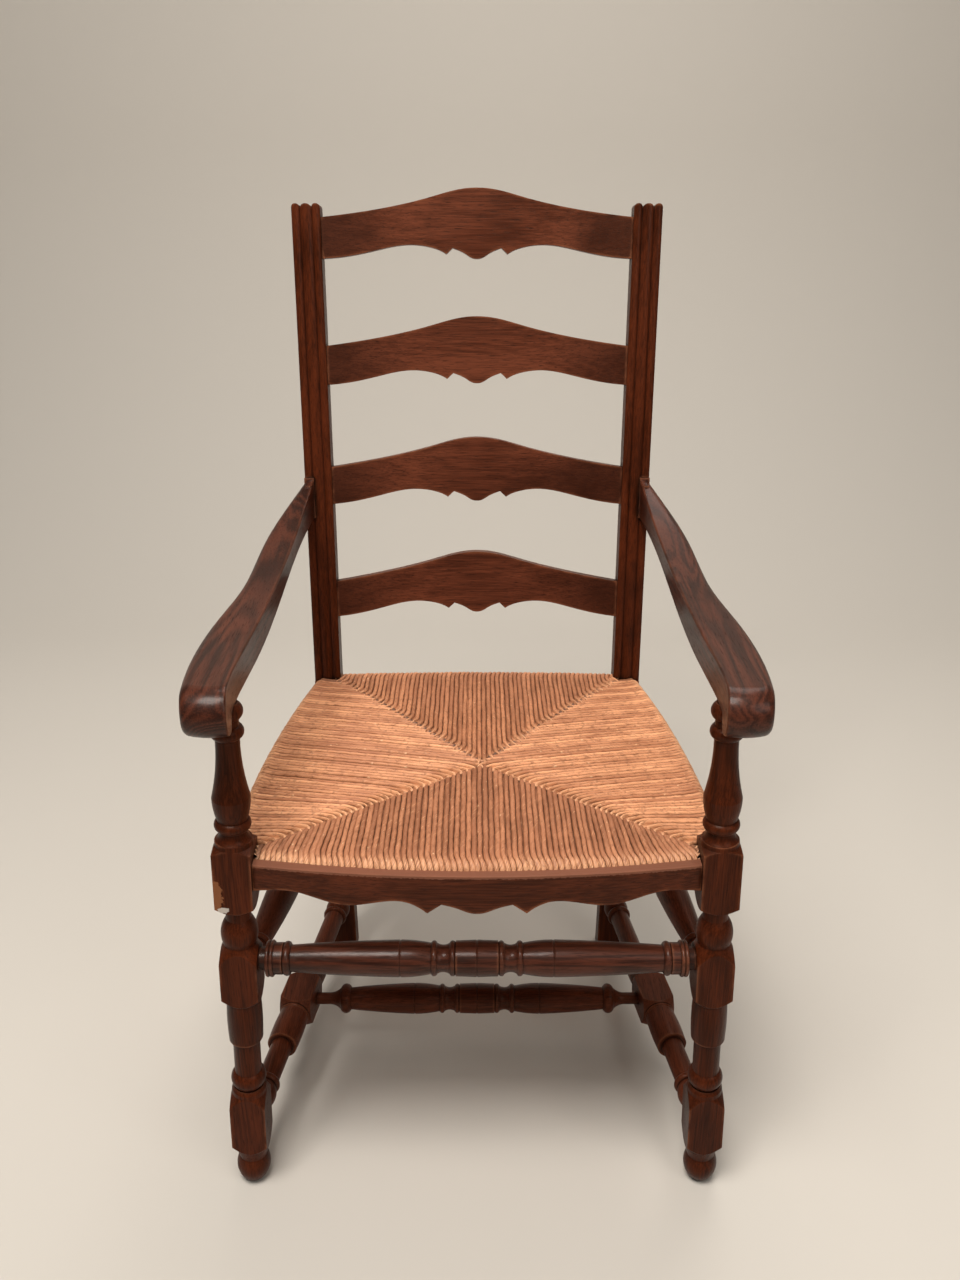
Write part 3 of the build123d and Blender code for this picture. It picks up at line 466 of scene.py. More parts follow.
@dataclass(frozen=True)
class RushFinish:
    """Dry twisted rush, paler on top where it is rubbed and painted with highlight, with painted
    shade in the gaps between strands and on tucked ends.
    """

    dark: Colour
    light: Colour
    # Colour of the painted shade in the gaps between strands and on tucked strand ends.
    painted_shade: Colour
    # Pale colour of rubbed rush and of painted highlight on the roll and tips; also the pale fibres.
    rubbed_and_lit: Colour = (0.80, 0.42, 0.220)
    fleck: Colour = (0.22, 0.078, 0.031)
    soil: Colour = (0.40, 0.150, 0.070)
    straw: Colour = (0.86, 0.56, 0.32)
    roughness: float = 0.52
    specular: float = 0.35
    turns: float = 62.0
    spread: float = 0.40
    reach: float = 0.005
    tone_limits: Span = (0.1, 0.9)
    rub_limits: Span = (0.3, 0.6)
    pale_limits: Span = (0.58, 0.72)
    pale_share: float = 0.55
    deep_limits: Span = (0.46, 0.28)
    deep_share: float = 0.60
    fleck_share: float = 0.55
    soil_scale: float = 9.0
    soil_swirl: float = 0.5
    soil_limits: Span = (0.47, 0.70)
    soil_share: float = 0.50
    straw_scale: Place = (2.2, 120.0, 1.0)
    straw_limits: Span = (0.72, 0.78)
    straw_share: float = 0.6
    gap_shade_limits: Span = (0.30, 0.86)
    gap_shade_share: float = 0.92
    shade_share: float = 0.85
    fibre_strength: float = 0.55
    fibre_depth: float = 0.0008

    def material(self, name: str, effects: Effects, strand_map: str, rub_and_highlight_mask: str,
                 shade_mask: str) -> bpy.types.Material:
        """Make the finish for one panel.

        Args:
            name: the material's name.
            effects: the shared shader groups.
            strand_map: the panel's map along its strands.
            rub_and_highlight_mask: the panel's mask of the places that are rubbed pale and painted
                with highlight.
            shade_mask: the panel's mask of the strand ends that lie under the next panel, painted
                with shade.

        Returns:
            The material.
        """
        material, g = new_material(name)
        strand = g.add("ShaderNodeUVMap", uv_map=strand_map).outputs[0]
        place = g.add("ShaderNodeTexCoord").outputs["Object"]
        twist = {"Strand": strand, "Turns": self.turns, "Spread": self.spread}
        rush = g.group(effects.rush, twist)
        reaches = {"Edge Reach": self.reach, "Corner Reach": self.reach}
        wear_and_shade = g.group(effects.wear_and_shade, {"Vector": place} | reaches)
        rub, shade = (g.add("ShaderNodeAttribute", attribute_name=mask).outputs["Fac"]
                      for mask in (rub_and_highlight_mask, shade_mask))
        soil = g.noise(place, self.soil_scale, 3.0, self.soil_swirl)
        straw = g.noise(g.stretch(strand, self.straw_scale), 1.0, 1.0)
        fibre = rush["Fibre"]
        coats = (
            # Rubbed pale and painted highlight on the roll and on over-lying tips.
            (g.math("MULTIPLY", rub, g.ramp(fibre, self.rub_limits)), self.rubbed_and_lit),
            (g.ramp(fibre, self.pale_limits, (0.0, self.pale_share)), self.rubbed_and_lit),
            (g.ramp(fibre, self.deep_limits, (0.0, self.deep_share)), self.fleck),
            (g.math("MULTIPLY", rush["Fleck"], self.fleck_share), self.fleck),
            (g.ramp(soil, self.soil_limits, (0.0, self.soil_share)), self.soil),
            (g.ramp(straw, self.straw_limits, (0.0, self.straw_share)), self.straw),
            # Painted shade in the gaps between strands, and on the ends tucked under the next panel.
            (g.ramp(wear_and_shade["Corner"], self.gap_shade_limits, (0.0, self.gap_shade_share)), self.painted_shade),
            (g.math("MULTIPLY", shade, self.shade_share), self.painted_shade),
        )
        colour = g.mix(g.ramp(rush["Tone"], self.tone_limits), self.dark, self.light)
        relief = {"Height": rush["Height"]}
        g.surface({
            "Base Color": g.layer(colour, coats),
            "Roughness": self.roughness,
            "Normal": g.bump(self.fibre_strength, self.fibre_depth, relief),
            "Specular IOR Level": self.specular,
        })
        return material


@dataclass(frozen=True)
class PlainWood:
    """Unfinished wood of the rails inside the seat."""

    dark: Colour = (0.30, 0.18, 0.10)
    light: Colour = (0.46, 0.30, 0.18)
    roughness: float = 0.7

    def material(self, name: str, effects: Effects, axis: Axis) -> bpy.types.Material:
        """Make the finish for one rail."""
        material, g = new_material(name)
        place = g.add("ShaderNodeTexCoord").outputs["Object"]
        along = g.add("ShaderNodeMapping", {"Vector": place, "Rotation": axis.value}).outputs[0]
        grain = g.group(effects.grain, {"Vector": along})
        colour = g.mix(grain["Tone"], self.dark, self.light)
        g.surface({"Base Color": colour, "Roughness": self.roughness})
        return material


# Meshes


def mesh_piece(name: str, points: np.ndarray, faces: list[list[int]]) -> bpy.types.Object:
    """A smooth-shaded object at the origin from points and faces.

    Args:
        name: the piece's name.
        points: n by 3 places in metres.
        faces: the point numbers of each face.

    Returns:
        The object, linked into the scene.
    """
    mesh = bpy.data.meshes.new(name)
    mesh.from_pydata(points.tolist(), [], faces)
    mesh.polygons.foreach_set("use_smooth", np.full(len(mesh.polygons), True))
    mesh.update()
    piece = bpy.data.objects.new(name, mesh)
    bpy.context.scene.collection.objects.link(piece)
    return piece


def grid_faces(rows: int, columns: int, closed_columns: bool) -> np.ndarray:
    """Quads of a rows by columns grid of points, closed along each row where asked."""
    across = columns if closed_columns else columns - 1
    row, column = np.meshgrid(np.arange(rows - 1), np.arange(across), indexing="ij")
    start = row * columns
    here = start + column
    beside = start + (column + 1) % columns
    return np.stack([here, beside, beside + columns, here + columns], axis=-1).reshape(-1, 4)


def signed_volume(points: np.ndarray, quads: np.ndarray) -> float:
    """Volume inside a closed shell of quads, below zero where its faces point inwards."""
    a, b, c, d = (points[quads[:, corner]] for corner in range(4))
    return float(np.sum(np.cross(b - a, c - a) * a + np.cross(c - a, d - a) * a) / 6.0)


def fade(away: np.ndarray, reach: float) -> np.ndarray:
    """A bell that is 1 at no distance and dies away over a reach."""
    return np.exp(-((away / reach) ** 2))


def open_steps(start: float, stop: float, count: int) -> np.ndarray:
    """Even steps from start towards stop, without stop itself."""
    return np.linspace(start, stop, count, endpoint=False)


# Rush seat


@dataclass
class SeatPlan:
    """Plan of the woven seat: its edges and the seams where the four panels meet."""

    front: float
    back: float
    foot: float
    peak: float
    front_roll: float = 0.0035
    bow: float = 0.0200
    bow_half: float = 0.2307
    front_half: float = 0.2302
    post_half: float = 0.1886
    front_corner_x: float = 0.2645
    back_corner_x: float = 0.2202
    side_swell: float = 0.0120
    corner_rise: float = 0.0264
    leg_back: float = 0.0429
    post_front: float = 0.4414
    apex_x: float = 0.0060
    apex_y: float = 0.2030
    crown: float = 0.0050
    crown_half: float = 0.2510
    crown_y: float = 0.2448

    def front_edge(self, x: np.ndarray) -> np.ndarray:
        """Depth of the bowed front edge: an arc that is nearest the viewer in the middle."""
        radius = (self.bow_half**2 + self.bow**2) / (2 * self.bow)
        return self.front - self.front_roll + radius - np.sqrt(radius**2 - x**2)

    def side_edge(self, y: np.ndarray) -> np.ndarray:
        """Half width at a depth: a circle through front corner, swelled side and back corner."""
        a = np.array([self.front_corner_x, self.front + self.corner_rise])
        c = np.array([self.back_corner_x, self.back])
        b = (a + c) / 2 + np.array([self.side_swell, 0.0])
        system = 2 * np.array([b - a, c - a])
        centre = np.linalg.solve(system, np.array([b @ b - a @ a, c @ c - a @ a]))
        radius = np.linalg.norm(a - centre)
        return centre[0] + np.sqrt(radius**2 - (y - centre[1]) ** 2)

    def seam_y(self, x: np.ndarray, corner_half: float, corner_y: float) -> np.ndarray:
        """Depth of the seams at x, straight from the corners to the apex."""
        places = [-corner_half, self.apex_x, corner_half]
        return np.interp(x, places, [corner_y, self.front + self.apex_y, corner_y])

    def seam_x(self, y: np.ndarray, way: float) -> np.ndarray:
        """Place across of a side panel's seams at depth y, on the side that way tells."""
        depths = self.front + np.array([self.leg_back, self.apex_y, self.post_front])
        return np.interp(y, depths, [way * self.front_half, self.apex_x, way * self.post_half])

    def top(self, x: np.ndarray, y: np.ndarray) -> np.ndarray:
        """Height of the crowned top: a ball's cap over the middle of the seat."""
        ball = (self.crown_half**2 + self.crown**2) / (2 * self.crown)
        away = x**2 + (y - self.front - self.crown_y) ** 2
        return self.peak - ball + np.sqrt(ball**2 - away)


@dataclass(frozen=True)
class Winding:
    """How a panel is wound.

    Args:
        fill: each strand's share of its pitch.
        rise: how far a strand stands out of its grooves.
        twist: depth of the twist's ridges, as a share.
        sink: how far a strand may lie below its neighbours.
        shallow: how much shallower the grooves are where the rail lies close under the roll.
    """

    fill: float
    rise: float
    twist: float
    sink: float
    shallow: float


@dataclass
class RushPanel:
    """One panel of strands, each wound over its rail from seam to seam, above and below."""

    side: Side
    plan: SeatPlan
    winding: Winding
    seed: int
    pitch: float = 0.0061
    jitter: float = 0.05
    fill_spread: float = 0.07
    rise_spread: Span = (0.86, 1.10)
    roll: float = 0.0130
    tip: float = 0.0050
    columns: int = 9
    half_turn: float = math.radians(100.0)
    top_rings: int = 84
    tip_rings: int = 6
    roll_rings: int = 10
    under_rings: int = 20
    wall_rings: int = 3
    wobble: float = 0.0003
    wobble_length: float = 0.070
    twist_length: float = 0.016
    hook_length: float = 0.018
    hook_aside: float = 0.0055
    tip_taper: float = 0.42
    front_tuck: float = 0.0044
    side_tuck: float = 0.0008
    tip_lift: float = 0.0008
    overhang: float = 0.0034
    underlap: float = 0.0050
    corner_hide: float = 0.0070
    leg_hide: float = 0.0220
    shallow_run: float = 0.020
    reach_passes: int = 12
    apex_cover: float = 0.0060
    apex_spread: float = 0.0090
    corner_lean: float = 0.33
    side_lean: float = 0.22
    lean_run: float = 0.140
    # Reach and share of the mask that paints the top near the roll, and over-lying tips, pale as
    # rubbing and highlight.
    rub_and_highlight_run: float = 0.011
    tip_rub_and_highlight: float = 0.7
    roll_slant: float = 0.0045
    # Reach of the painted shade on tucked ends, and the painted shade of the first and last strand
    # beside legs and posts.
    shaded_run: float = 0.006
    end_shade: float = 0.6
    map_margin: float = 0.001
    strand_map: str = "strand"
    rub_and_highlight_mask: str = "rubbed_and_lit"
    shade_mask: str = "shaded"

    @property
    def name(self) -> str:
        """The piece's name."""
        return f"rush_panel_{self.side.value}"

    def span(self) -> Span:
        """First and last place of the strands along the rail, a little way into legs and posts."""
        plan = self.plan
        if self.side in (Side.FRONT, Side.BACK):
            half = plan.front_half if self.side is Side.FRONT else plan.post_half
            return -half - self.corner_hide, half + self.corner_hide
        start = plan.front + plan.leg_back - self.leg_hide
        return start, plan.front + plan.post_front + self.corner_hide

    def lean(self, along: np.ndarray) -> np.ndarray:
        """Slope of strands off square to the rail: inwards at front corners, forwards on sides."""
        if self.side is Side.FRONT:
            return -np.sign(along) * self.corner_lean * (np.abs(along) / self.plan.front_half) ** 4
        if self.side is Side.BACK:
            return np.zeros_like(along)
        share = np.clip((along - self.plan.front - self.plan.leg_back) / self.lean_run, 0.0, 1.0)
        return -self.side_lean * share**2 * (3.0 - 2.0 * share)

    def place(self, along: np.ndarray, inward: np.ndarray,
              lean: np.ndarray) -> tuple[np.ndarray, np.ndarray]:
        """Plan place of a point from its place along the rail, depth in and strand's lean."""
        plan, aside = self.plan, along + lean * inward
        if self.side is Side.FRONT:
            return aside, plan.front_edge(along) + inward
        if self.side is Side.BACK:
            return aside, plan.back - inward
        return self.side.way * (plan.side_edge(along) - inward), aside

    def gap(self, root: np.ndarray, end: np.ndarray) -> np.ndarray:
        """Depth from the edge at each strand's root to the seam at its end."""
        plan, way = self.plan, self.side.way
        if self.side is Side.FRONT:
            seam = plan.seam_y(end, plan.front_half, plan.front + plan.leg_back)
            return seam - plan.front_edge(root)
        if self.side is Side.BACK:
            return plan.back - plan.seam_y(end, plan.post_half, plan.front + plan.post_front)
        return plan.side_edge(root) - way * plan.seam_x(end, way)

    def reach(self, along: np.ndarray) -> np.ndarray:
        """How far strands run in from the edge to the seam, and a little more at the apex."""
        run = np.zeros_like(along)
        for _ in range(self.reach_passes):
            run = self.gap(along, along + self.lean(along) * run)
        plan = self.plan
        apex = plan.apex_x if self.side in (Side.FRONT, Side.BACK) else plan.front + plan.apex_y
        beside = along + self.lean(along) * run - apex
        return run + self.apex_cover * fade(beside, self.apex_spread)

    def over(self, end: np.ndarray) -> np.ndarray:
        """1 where a strand's end lies over the next panel's at the seam, 0 where it tucks under."""
        if self.side is Side.FRONT:
            return np.zeros_like(end)
        if self.side is Side.BACK:
            return np.ones_like(end)
        return (end < self.plan.front + self.plan.apex_y).astype(float)

    def hook(self, end: np.ndarray) -> np.ndarray:
        """How far a strand's end bends aside at the seam: forwards on sides, outwards at back."""
        if self.side is Side.BACK:
            return self.hook_aside * np.tanh((end - self.plan.apex_x) / self.hook_length)
        return -self.hook_aside * self.over(end)

    def section(self, reach: np.ndarray, over: np.ndarray) -> tuple[np.ndarray, ...]:
        """Loop of each strand in its own plane.

        From the seam the loop turns up over a rounded tip, runs out along the top, rolls round
        the rail on two quarter circles, runs back underneath and closes up the seam's wall.

        Args:
            reach: each strand's run from edge to seam.
            over: 1 for a strand that lies over at the seam.

        Returns:
            Depth in from the edge, share of the height from foot (0) to top (1), drop below
            that, and the outward direction's two parts, each strands by rings.
        """
        tip, roll, right = self.tip, self.roll, math.pi / 2
        under_next = 0.0 if self.side is Side.FRONT else self.underlap
        end = (reach + self.overhang * over + under_next * (1.0 - over))[:, None]
        up = open_steps(0.0, right, self.tip_rings)
        out = open_steps(0.0, 1.0, self.top_rings)
        turn = open_steps(right, 0.0, self.roll_rings)
        back = open_steps(0.0, right, self.roll_rings)
        under = open_steps(0.0, 1.0, self.under_rings)
        wall = open_steps(0.0, 1.0, self.wall_rings)
        stretches = (
            (up, end - tip + tip * np.cos(up), 1.0, tip * (np.sin(up) - 1.0), np.cos(up), np.sin(up)),
            (out, end - tip - (end - tip - roll) * out, 1.0, 0.0, 0.0, 1.0),
            (turn, roll - roll * np.cos(turn), 1.0, roll * (np.sin(turn) - 1.0),
             -np.cos(turn), np.sin(turn)),
            (back, roll - roll * np.cos(back), 0.0, roll * (1.0 - np.sin(back)),
             -np.cos(back), -np.sin(back)),
            (under, roll + (end - roll) * under, 0.0, 0.0, 0.0, -1.0),
            (wall, end, wall, -tip * wall, 1.0, 0.0),
        )
        full = [[np.broadcast_to(part, (len(end), len(rings))) for part in parts]
                for rings, *parts in stretches]
        return tuple(np.concatenate(parts, axis=1) for parts in zip(*full))

    def surface(self) -> tuple[np.ndarray, np.ndarray, np.ndarray, np.ndarray]:
        """Work out the panel's ridged surface.

        A point is its strand's loop moved in by the strand's rise times one less the cosine of
        the column's turn, and aside by the half width times its sine. Slow waves, the twist's
        ridges and the bend at the seam come on top.

        Returns:
            Points, strand map, mask of rubbing and painted highlight, and mask of painted shade, each
            strand columns by rings.
        """
        draw = np.random.default_rng(self.seed)
        winding, plan = self.winding, self.plan
        first, last = self.span()
        count = int(round((last - first) / self.pitch))
        step = (last - first) / count
        middle = first + step * (np.arange(count) + 0.5) + draw.normal(0.0, self.jitter * step, count)
        reach, lean = self.reach(middle), self.lean(middle)
        ends = middle + lean * reach
        over = self.over(ends)
        section = self.section(reach, over)
        size = winding.rise * draw.uniform(*self.rise_spread, count)
        half = step / 2 * (winding.fill + self.fill_spread * draw.uniform(-1.0, 1.0, count))
        sink = draw.uniform(0.0, winding.sink, count)
        phase, drift = draw.uniform(0.0, 2 * math.pi, (2, count))
        strandwise = (middle, reach, lean, over, self.hook(ends), size, half, sink, phase, drift)
        middle, reach, lean, over, hook, size, half, sink, phase, drift = (
            values[:, None, None] for values in strandwise)
        ringwise = (*section, self.ring_runs(*section[:3]))
        deep, share, drop, across, rise, run = (values[:, None, :] for values in ringwise)
        turn = np.linspace(-self.half_turn, self.half_turn, self.columns)[None, :, None]

        left = np.clip((deep - (reach - self.hook_length)) / self.hook_length, 0.0, None)
        dive = self.front_tuck if self.side is Side.FRONT else self.side_tuck
        tuck = (dive * (1.0 - over) - self.tip_lift * over) * left**2 * share
        lobes = 2.0 * turn + 2 * math.pi * deep / self.twist_length + phase
        ridge = 1.0 + winding.twist * np.cos(lobes)
        set_in = size * (np.cos(turn) * ridge - 1.0) - sink
        set_in = set_in * (1.0 - winding.shallow * fade(deep, self.shallow_run))
        slim = 1.0 - self.tip_taper * over * np.clip(left, 0.0, 1.0) ** 3
        aside = half * np.sin(turn) * ridge * slim
        waves = self.wobble * np.sin(2 * math.pi * deep / self.wobble_length + drift)
        slip = self.roll_slant * fade(deep, self.roll) * share
        along = np.clip(middle + aside + waves + hook * left**2 + slip, first, last)
        x, y = self.place(along, deep + set_in * across, lean)
        top = plan.top(*self.place(middle, deep, lean))
        z = plan.foot + (top - plan.foot) * share + drop - tuck + set_in * rise
        points = np.stack(np.broadcast_arrays(x, y, z), axis=-1)

        part = np.linspace(0.0, 1.0, self.columns).clip(self.map_margin, 1.0 - self.map_margin)
        number = np.arange(count)[:, None, None] + part[None, :, None]
        strand = np.stack(np.broadcast_arrays(number, run), axis=-1)
        # Mask of rubbing and painted highlight on top near the roll and on over-lying tips; mask of
        # painted shade on tucked ends and on the first and last strand.
        rubbed_and_lit = fade(deep, self.rub_and_highlight_run) * share + self.tip_rub_and_highlight * over * left**2
        close = np.clip(1.0 - (reach - deep) / self.shaded_run, 0.0, 1.0)
        rubbed_and_lit, shaded = (np.broadcast_to(mask, z.shape).reshape(-1, z.shape[2]).clip(0.0, 1.0)
                          for mask in (rubbed_and_lit, (1.0 - over) * close**2))
        shaded[: self.columns] = shaded[-self.columns :] = self.end_shade
        return points.reshape(*rubbed_and_lit.shape, 3), strand.reshape(*rubbed_and_lit.shape, 2), rubbed_and_lit, shaded

    def ring_runs(self, inward: np.ndarray, share: np.ndarray, drop: np.ndarray) -> np.ndarray:
        """Length along each strand from its first ring to every ring."""
        level = drop + (self.plan.peak - self.plan.foot) * share
        inward, level = (np.diff(way, axis=1, prepend=way[:, :1]) for way in (inward, level))
        return np.cumsum(np.hypot(inward, level), axis=1)

    def build(self, finish: RushFinish, effects: Effects) -> bpy.types.Object:
        """Make the panel's closed mesh, with an end cap on its first and last column.

        Args:
            finish: the rush's finish.
            effects: the shared shader groups.

        Returns:
            The panel.
        """
        grid, strand, rubbed_and_lit, shaded = self.surface()
        lines, rings = grid.shape[:2]
        points = np.concatenate([grid.reshape(-1, 3), grid[:1].mean(1), grid[-1:].mean(1)])
        quads = grid_faces(lines, rings, closed_columns=True)
        ring = np.arange(rings)
        after = (ring + 1) % rings
        middle, far = np.full(rings, lines * rings), (lines - 1) * rings
        caps = np.concatenate([np.stack([middle, after, ring], axis=1),
                               np.stack([middle + 1, far + ring, far + after], axis=1)])
        if signed_volume(points, np.concatenate([quads, caps[:, [0, 1, 2, 2]]])) < 0.0:
            quads, caps = quads[:, ::-1], caps[:, [0, 2, 1]]
        panel = mesh_piece(self.name, points, quads.tolist() + caps.tolist())
        mesh = panel.data
        self.add_map(mesh, np.concatenate([strand.reshape(-1, 2), strand[:1, 0], strand[-1:, 0]]))
        # The end caps take no painted highlight and full painted shade.
        for name, values, cap in ((self.rub_and_highlight_mask, rubbed_and_lit, 0.0), (self.shade_mask, shaded, 1.0)):
            mask = mesh.attributes.new(name, "FLOAT", "POINT")
            mask.data.foreach_set("value", np.append(values.ravel(), [cap, cap]).astype(np.float32))
        maps = (self.strand_map, self.rub_and_highlight_mask, self.shade_mask)
        mesh.materials.append(finish.material(f"rush_{self.side.value}", effects, *maps))
        return panel

    def add_map(self, mesh: bpy.types.Mesh, strand: np.ndarray) -> None:
        """Give the mesh its strand map, one place for each face corner."""
        corners = np.empty(len(mesh.loops), dtype=np.int32)
        mesh.loops.foreach_get("vertex_index", corners)
        layer = mesh.uv_layers.new(name=self.strand_map)
        layer.data.foreach_set("uv", strand[corners].astype(np.float32).ravel())


@dataclass
class RushSeat:
    """The four rush panels that stand for the seat's plain solid."""

    effects: Effects
    # Side panels lighter, front and back darker: partly wear, partly painted light for how light
    # falls along each panel's strands.
    sides: RushFinish = RushFinish(
        dark=(0.41, 0.153, 0.065), light=(0.82, 0.380, 0.183), painted_shade=(0.042, 0.014, 0.006),
        spread=0.46)
    front: RushFinish = RushFinish(
        dark=(0.26, 0.094, 0.041), light=(0.48, 0.196, 0.094), painted_shade=(0.040, 0.014, 0.006))
    back: RushFinish = RushFinish(
        dark=(0.32, 0.116, 0.050), light=(0.60, 0.246, 0.116), painted_shade=(0.050, 0.017, 0.007))
    loose: Winding = Winding(fill=0.87, rise=0.0040, twist=0.04, sink=0.0012, shallow=0.74)
    tight: Winding = Winding(fill=0.95, rise=0.0029, twist=0.05, sink=0.0008, shallow=0.38)
    first_seed: int = 11
    node: str = "rush_seat"
    slot: str = "rush"

    def plan(self) -> SeatPlan:
        """The seat's plan, set by the solid's own box."""
        low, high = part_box(self.node)
        return SeatPlan(front=low.y, back=high.y, foot=low.z, peak=high.z)

    def build(self) -> list[bpy.types.Object]:
        """Make the panels and let them stand for the solid."""
        plan = self.plan()
        panels = []
        for seed, side in enumerate(Side, start=self.first_seed):
            finish = {Side.FRONT: self.front, Side.BACK: self.back}.get(side, self.sides)
            winding = self.loose if finish is self.sides else self.tight
            panel = RushPanel(side, plan, winding, seed).build(finish, self.effects)
            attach(panel, "root")
            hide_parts(self.node)
            panels.append(panel)
            LOG.info("%s: %d faces", panel.name, len(panel.data.polygons))
        return panels


# Wooden frame


@dataclass
class WoodenFrame:
    """The turned, sawn and shaped pieces, which keep their own meshes."""

    nodes: dict[str, bpy.types.Object]
    effects: Effects
    slats: StainedWood = StainedWood(end_shade=0.68)
    # Lighter than the deep finish, partly painted light that lifts the shade under the seat.
    stretchers: StainedWood = StainedWood(
        dark=(0.036, 0.0078, 0.0028), light=(0.112, 0.0250, 0.0095), wax=0.06)
    deep: StainedWood = StainedWood(
        dark=(0.026, 0.0049, 0.0013), light=(0.086, 0.0165, 0.0046), wax=0.04, specular=0.10)
    # The apron's edges are paler partly as painted highlight on its lit upper edge, with less grime
    # and painted shade.
    apron: StainedWood = StainedWood(
        dark=(0.032, 0.0068, 0.0022), light=(0.104, 0.0235, 0.0090), wax=0.05,
        edge_share=0.90, grime_and_shade_share=0.55, corner_reach=0.004)
    handled: StainedWood = StainedWood(
        dark=(0.021, 0.0055, 0.0027), light=(0.078, 0.0200, 0.0095), wax=0.17, rings=2.6,
        specular=0.16, sheen_tint=(1.0, 0.88, 0.78))
    plain: PlainWood = PlainWood()
    chips: tuple[WearAndHighlightSpot, ...] = (
        WearAndHighlightSpot((-0.2700, -0.2608, 0.416), 0.0078, 0.024, (0.235, 0.088, 0.036)),
        WearAndHighlightSpot((-0.2632, -0.2608, 0.4000), 0.0062, 0.0042, (0.56, 0.50, 0.44)),
    )
    chipped: str = "front_leg_left"
    apron_node: str = "front_apron"
    # A pale strip along the apron's upper edge, from wear and painted highlight.
    strip_height: float = 0.0030
    strip_colour: Colour = (0.215, 0.084, 0.049)
    strip_share: float = 0.75
    seed: int = 5
    cut_range: float = 3.0
    hidden: str = "seat_rail"
    across: tuple[str, ...] = (
        "slat", "front_apron", "front_stretcher", "cross", "seat_rail_front", "seat_rail_back")
    lengthways: tuple[str, ...] = ("arm", "upper_side", "lower_side", "seat_rail")

    def axis_of(self, name: str) -> Axis:
        """The way the grain runs in a piece, along its length."""
        if name.startswith(self.across):
            return Axis.X
        return Axis.Y if name.startswith(self.lengthways) else Axis.Z

    def finish_of(self, name: str) -> StainedWood:
        """A piece's stain: redder on the slats, polished where hands and feet rub, lighter on the
        other stretchers partly as painted light under the seat, else deep.
        """
        if name.startswith("slat"):
            return self.slats
        if name.startswith(("arm", "front_stretcher")):
            return self.handled
        if "stretcher" in name:
            return self.stretchers
        return self.apron if name == self.apron_node else self.deep

    def spots_of(self, name: str) -> tuple[WearAndHighlightSpot, ...]:
        """Pale places on a piece: the chips, where the stain is gone, and the apron's upper edge,
        paler from wear and painted highlight.
        """
        if name == self.chipped:
            return self.chips
        if name == self.apron_node:
            low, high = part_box(name)
            middle = ((low.x + high.x) / 2, (low.y + high.y) / 2, high.z)
            width = high.x - low.x
            strip = (self.strip_height, self.strip_colour, self.strip_share)
            return (WearAndHighlightSpot(middle, width, *strip),)
        return ()

    def dress(self) -> None:
        """Give each piece its wood, cut from its own place in the figure."""
        draw = np.random.default_rng(self.seed)
        for name in sorted(self.nodes):
            if name == RushSeat.node:
                continue
            shift = tuple(draw.uniform(-self.cut_range, self.cut_range, 3).tolist())
            made = (f"wood_{name}", self.effects, self.axis_of(name))
            if name.startswith(self.hidden):
                material = self.plain.material(*made)
            else:
                material = self.finish_of(name).material(*made, shift, self.spots_of(name))
            mesh = self.nodes[name].data
            mesh.materials.clear()
            mesh.materials.append(material)
            LOG.info("%s: grain along %s", name, self.axis_of(name).name)


# Studio


@dataclass(frozen=True)
class Lamp:
    """A soft square lamp."""

    name: str
    place: Place
    size: float
    power: float
    colour: Colour = (1.0, 0.97, 0.93)


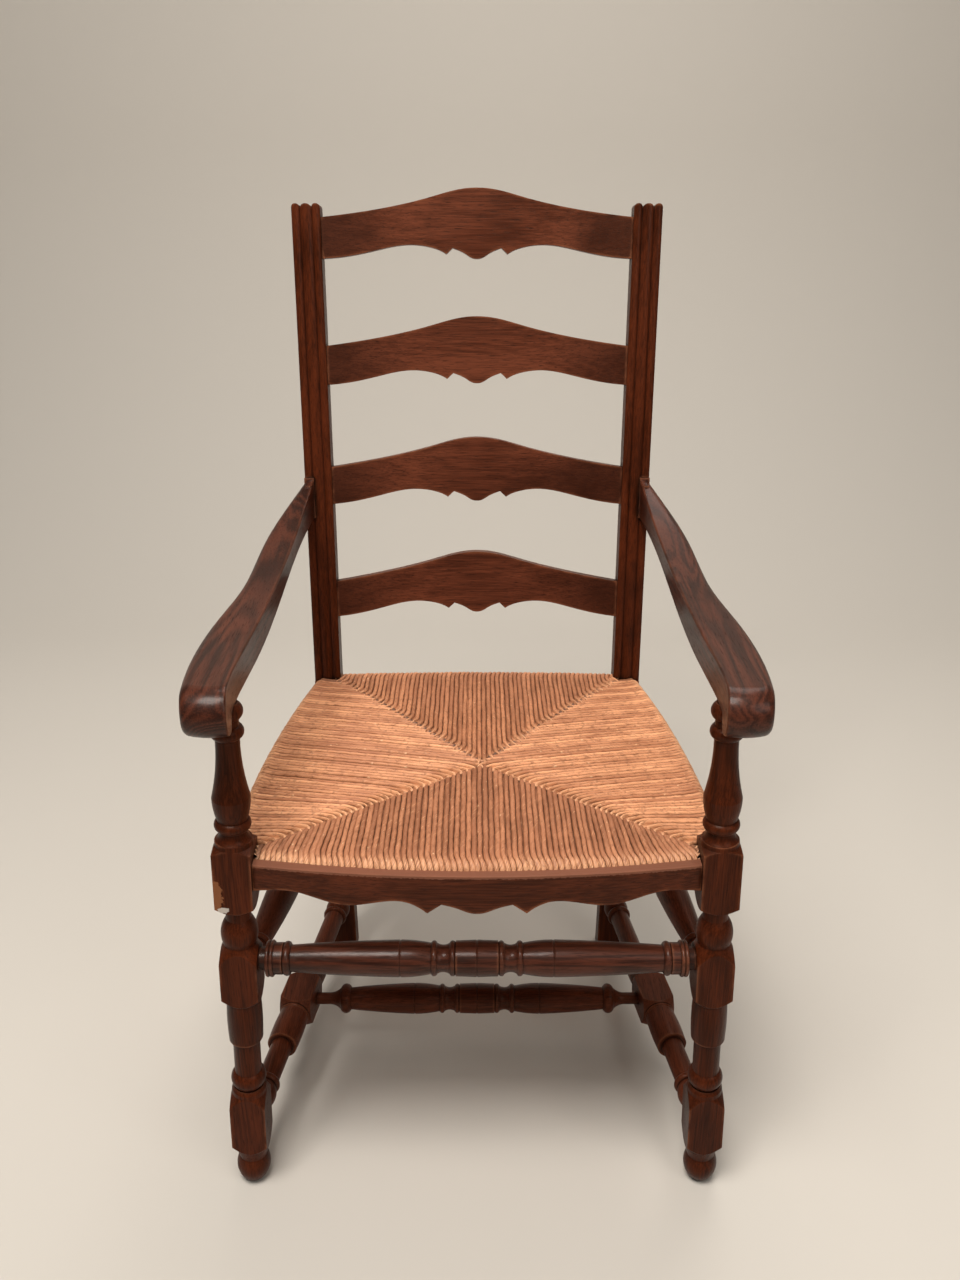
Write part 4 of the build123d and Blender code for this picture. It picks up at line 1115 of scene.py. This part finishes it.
@dataclass
class Studio:
    """Floor, light and camera."""

    floor_colour: Colour = (0.58, 0.535, 0.475)
    floor_roughness: float = 0.9
    sky: Colour = (1.0, 0.98, 0.95)
    sky_strength: float = 0.16
    aim: Place = (0.0, 0.0, 0.45)
    lamps: tuple[Lamp, ...] = (
        Lamp("key", (-0.5, -1.2, 3.1), 1.3, 104.0),
        Lamp("fill", (1.6, -1.9, 2.0), 1.4, 16.0),
        Lamp("back", (0.4, 1.2, 3.0), 1.6, 34.0),
    )
    camera_place: Place = (0.0, -1.19783, 1.10969)
    camera_pitch: float = 23.321
    sensor_width: float = 36.0
    focal_pixels: float = 1100.0
    centre_pixel: float = 477.0
    frame_pixels: tuple[int, int] = (960, 1280)
    floor_half: float = 14.0
    floor_front: float = -5.0
    sweep_start: float = 1.4
    sweep_radius: float = 1.2
    sweep_steps: int = 24
    wall_top: float = 4.0

    def build(self) -> None:
        """Make the whole setting."""
        self.sweep()
        self.light()
        self.camera()
        bpy.context.scene.view_settings.view_transform = "Standard"

    def sweep(self) -> None:
        """Floor turned up into a backdrop: a line, a quarter circle and a line, drawn sideways."""
        turn = np.linspace(0.0, math.pi / 2, self.sweep_steps)
        y = np.concatenate([[self.floor_front], self.sweep_start + self.sweep_radius * np.sin(turn)])
        z = np.concatenate([[0.0], self.sweep_radius * (1.0 - np.cos(turn))])
        y = np.append(y, y[-1])
        z = np.append(z, self.wall_top)
        x = np.array([-self.floor_half, self.floor_half])
        points = np.stack(np.broadcast_arrays(x[None, :], y[:, None], z[:, None]), axis=-1)
        faces = grid_faces(len(y), len(x), closed_columns=False)
        floor = mesh_piece("floor", points.reshape(-1, 3), faces.tolist())
        material, g = new_material("floor")
        g.surface({"Base Color": opaque(self.floor_colour), "Roughness": self.floor_roughness})
        floor.data.materials.append(material)

    def light(self) -> None:
        """Even light from all round, and the lamps."""
        world = bpy.data.worlds.new("studio")
        world.use_nodes = True
        g = Graph(world.node_tree)
        glow = {"Color": opaque(self.sky), "Strength": self.sky_strength}
        sky = g.add("ShaderNodeBackground", glow)
        g.add("ShaderNodeOutputWorld", {"Surface": sky.outputs[0]})
        bpy.context.scene.world = world
        for lamp in self.lamps:
            data = bpy.data.lights.new(lamp.name, "AREA")
            data.energy, data.size, data.color = lamp.power, lamp.size, lamp.colour
            made = bpy.data.objects.new(lamp.name, data)
            made.location = lamp.place
            away = made.location - Vector(self.aim)
            made.rotation_euler = away.to_track_quat("Z", "Y").to_euler()
            bpy.context.scene.collection.objects.link(made)

    def camera(self) -> None:
        """Camera at the viewer's place, its long side along the height of the picture."""
        data = bpy.data.cameras.new("camera")
        width, height = self.frame_pixels
        data.sensor_fit, data.sensor_width = "AUTO", self.sensor_width
        data.lens = self.sensor_width * self.focal_pixels / height
        data.shift_x = (width / 2 - self.centre_pixel) / height
        made = bpy.data.objects.new("camera", data)
        made.location = self.camera_place
        made.rotation_euler = (math.radians(90.0 - self.camera_pitch), 0.0, 0.0)
        bpy.context.scene.collection.objects.link(made)
        bpy.context.scene.camera = made


def main() -> None:
    """Build the chair's looks in order."""
    logging.basicConfig(level=logging.INFO, format="%(name)s %(message)s")
    Studio().build()
    effects = Effects()
    WoodenFrame(frame["nodes"], effects).dress()
    RushSeat(effects).build()


if __name__ == "__main__":
    main()
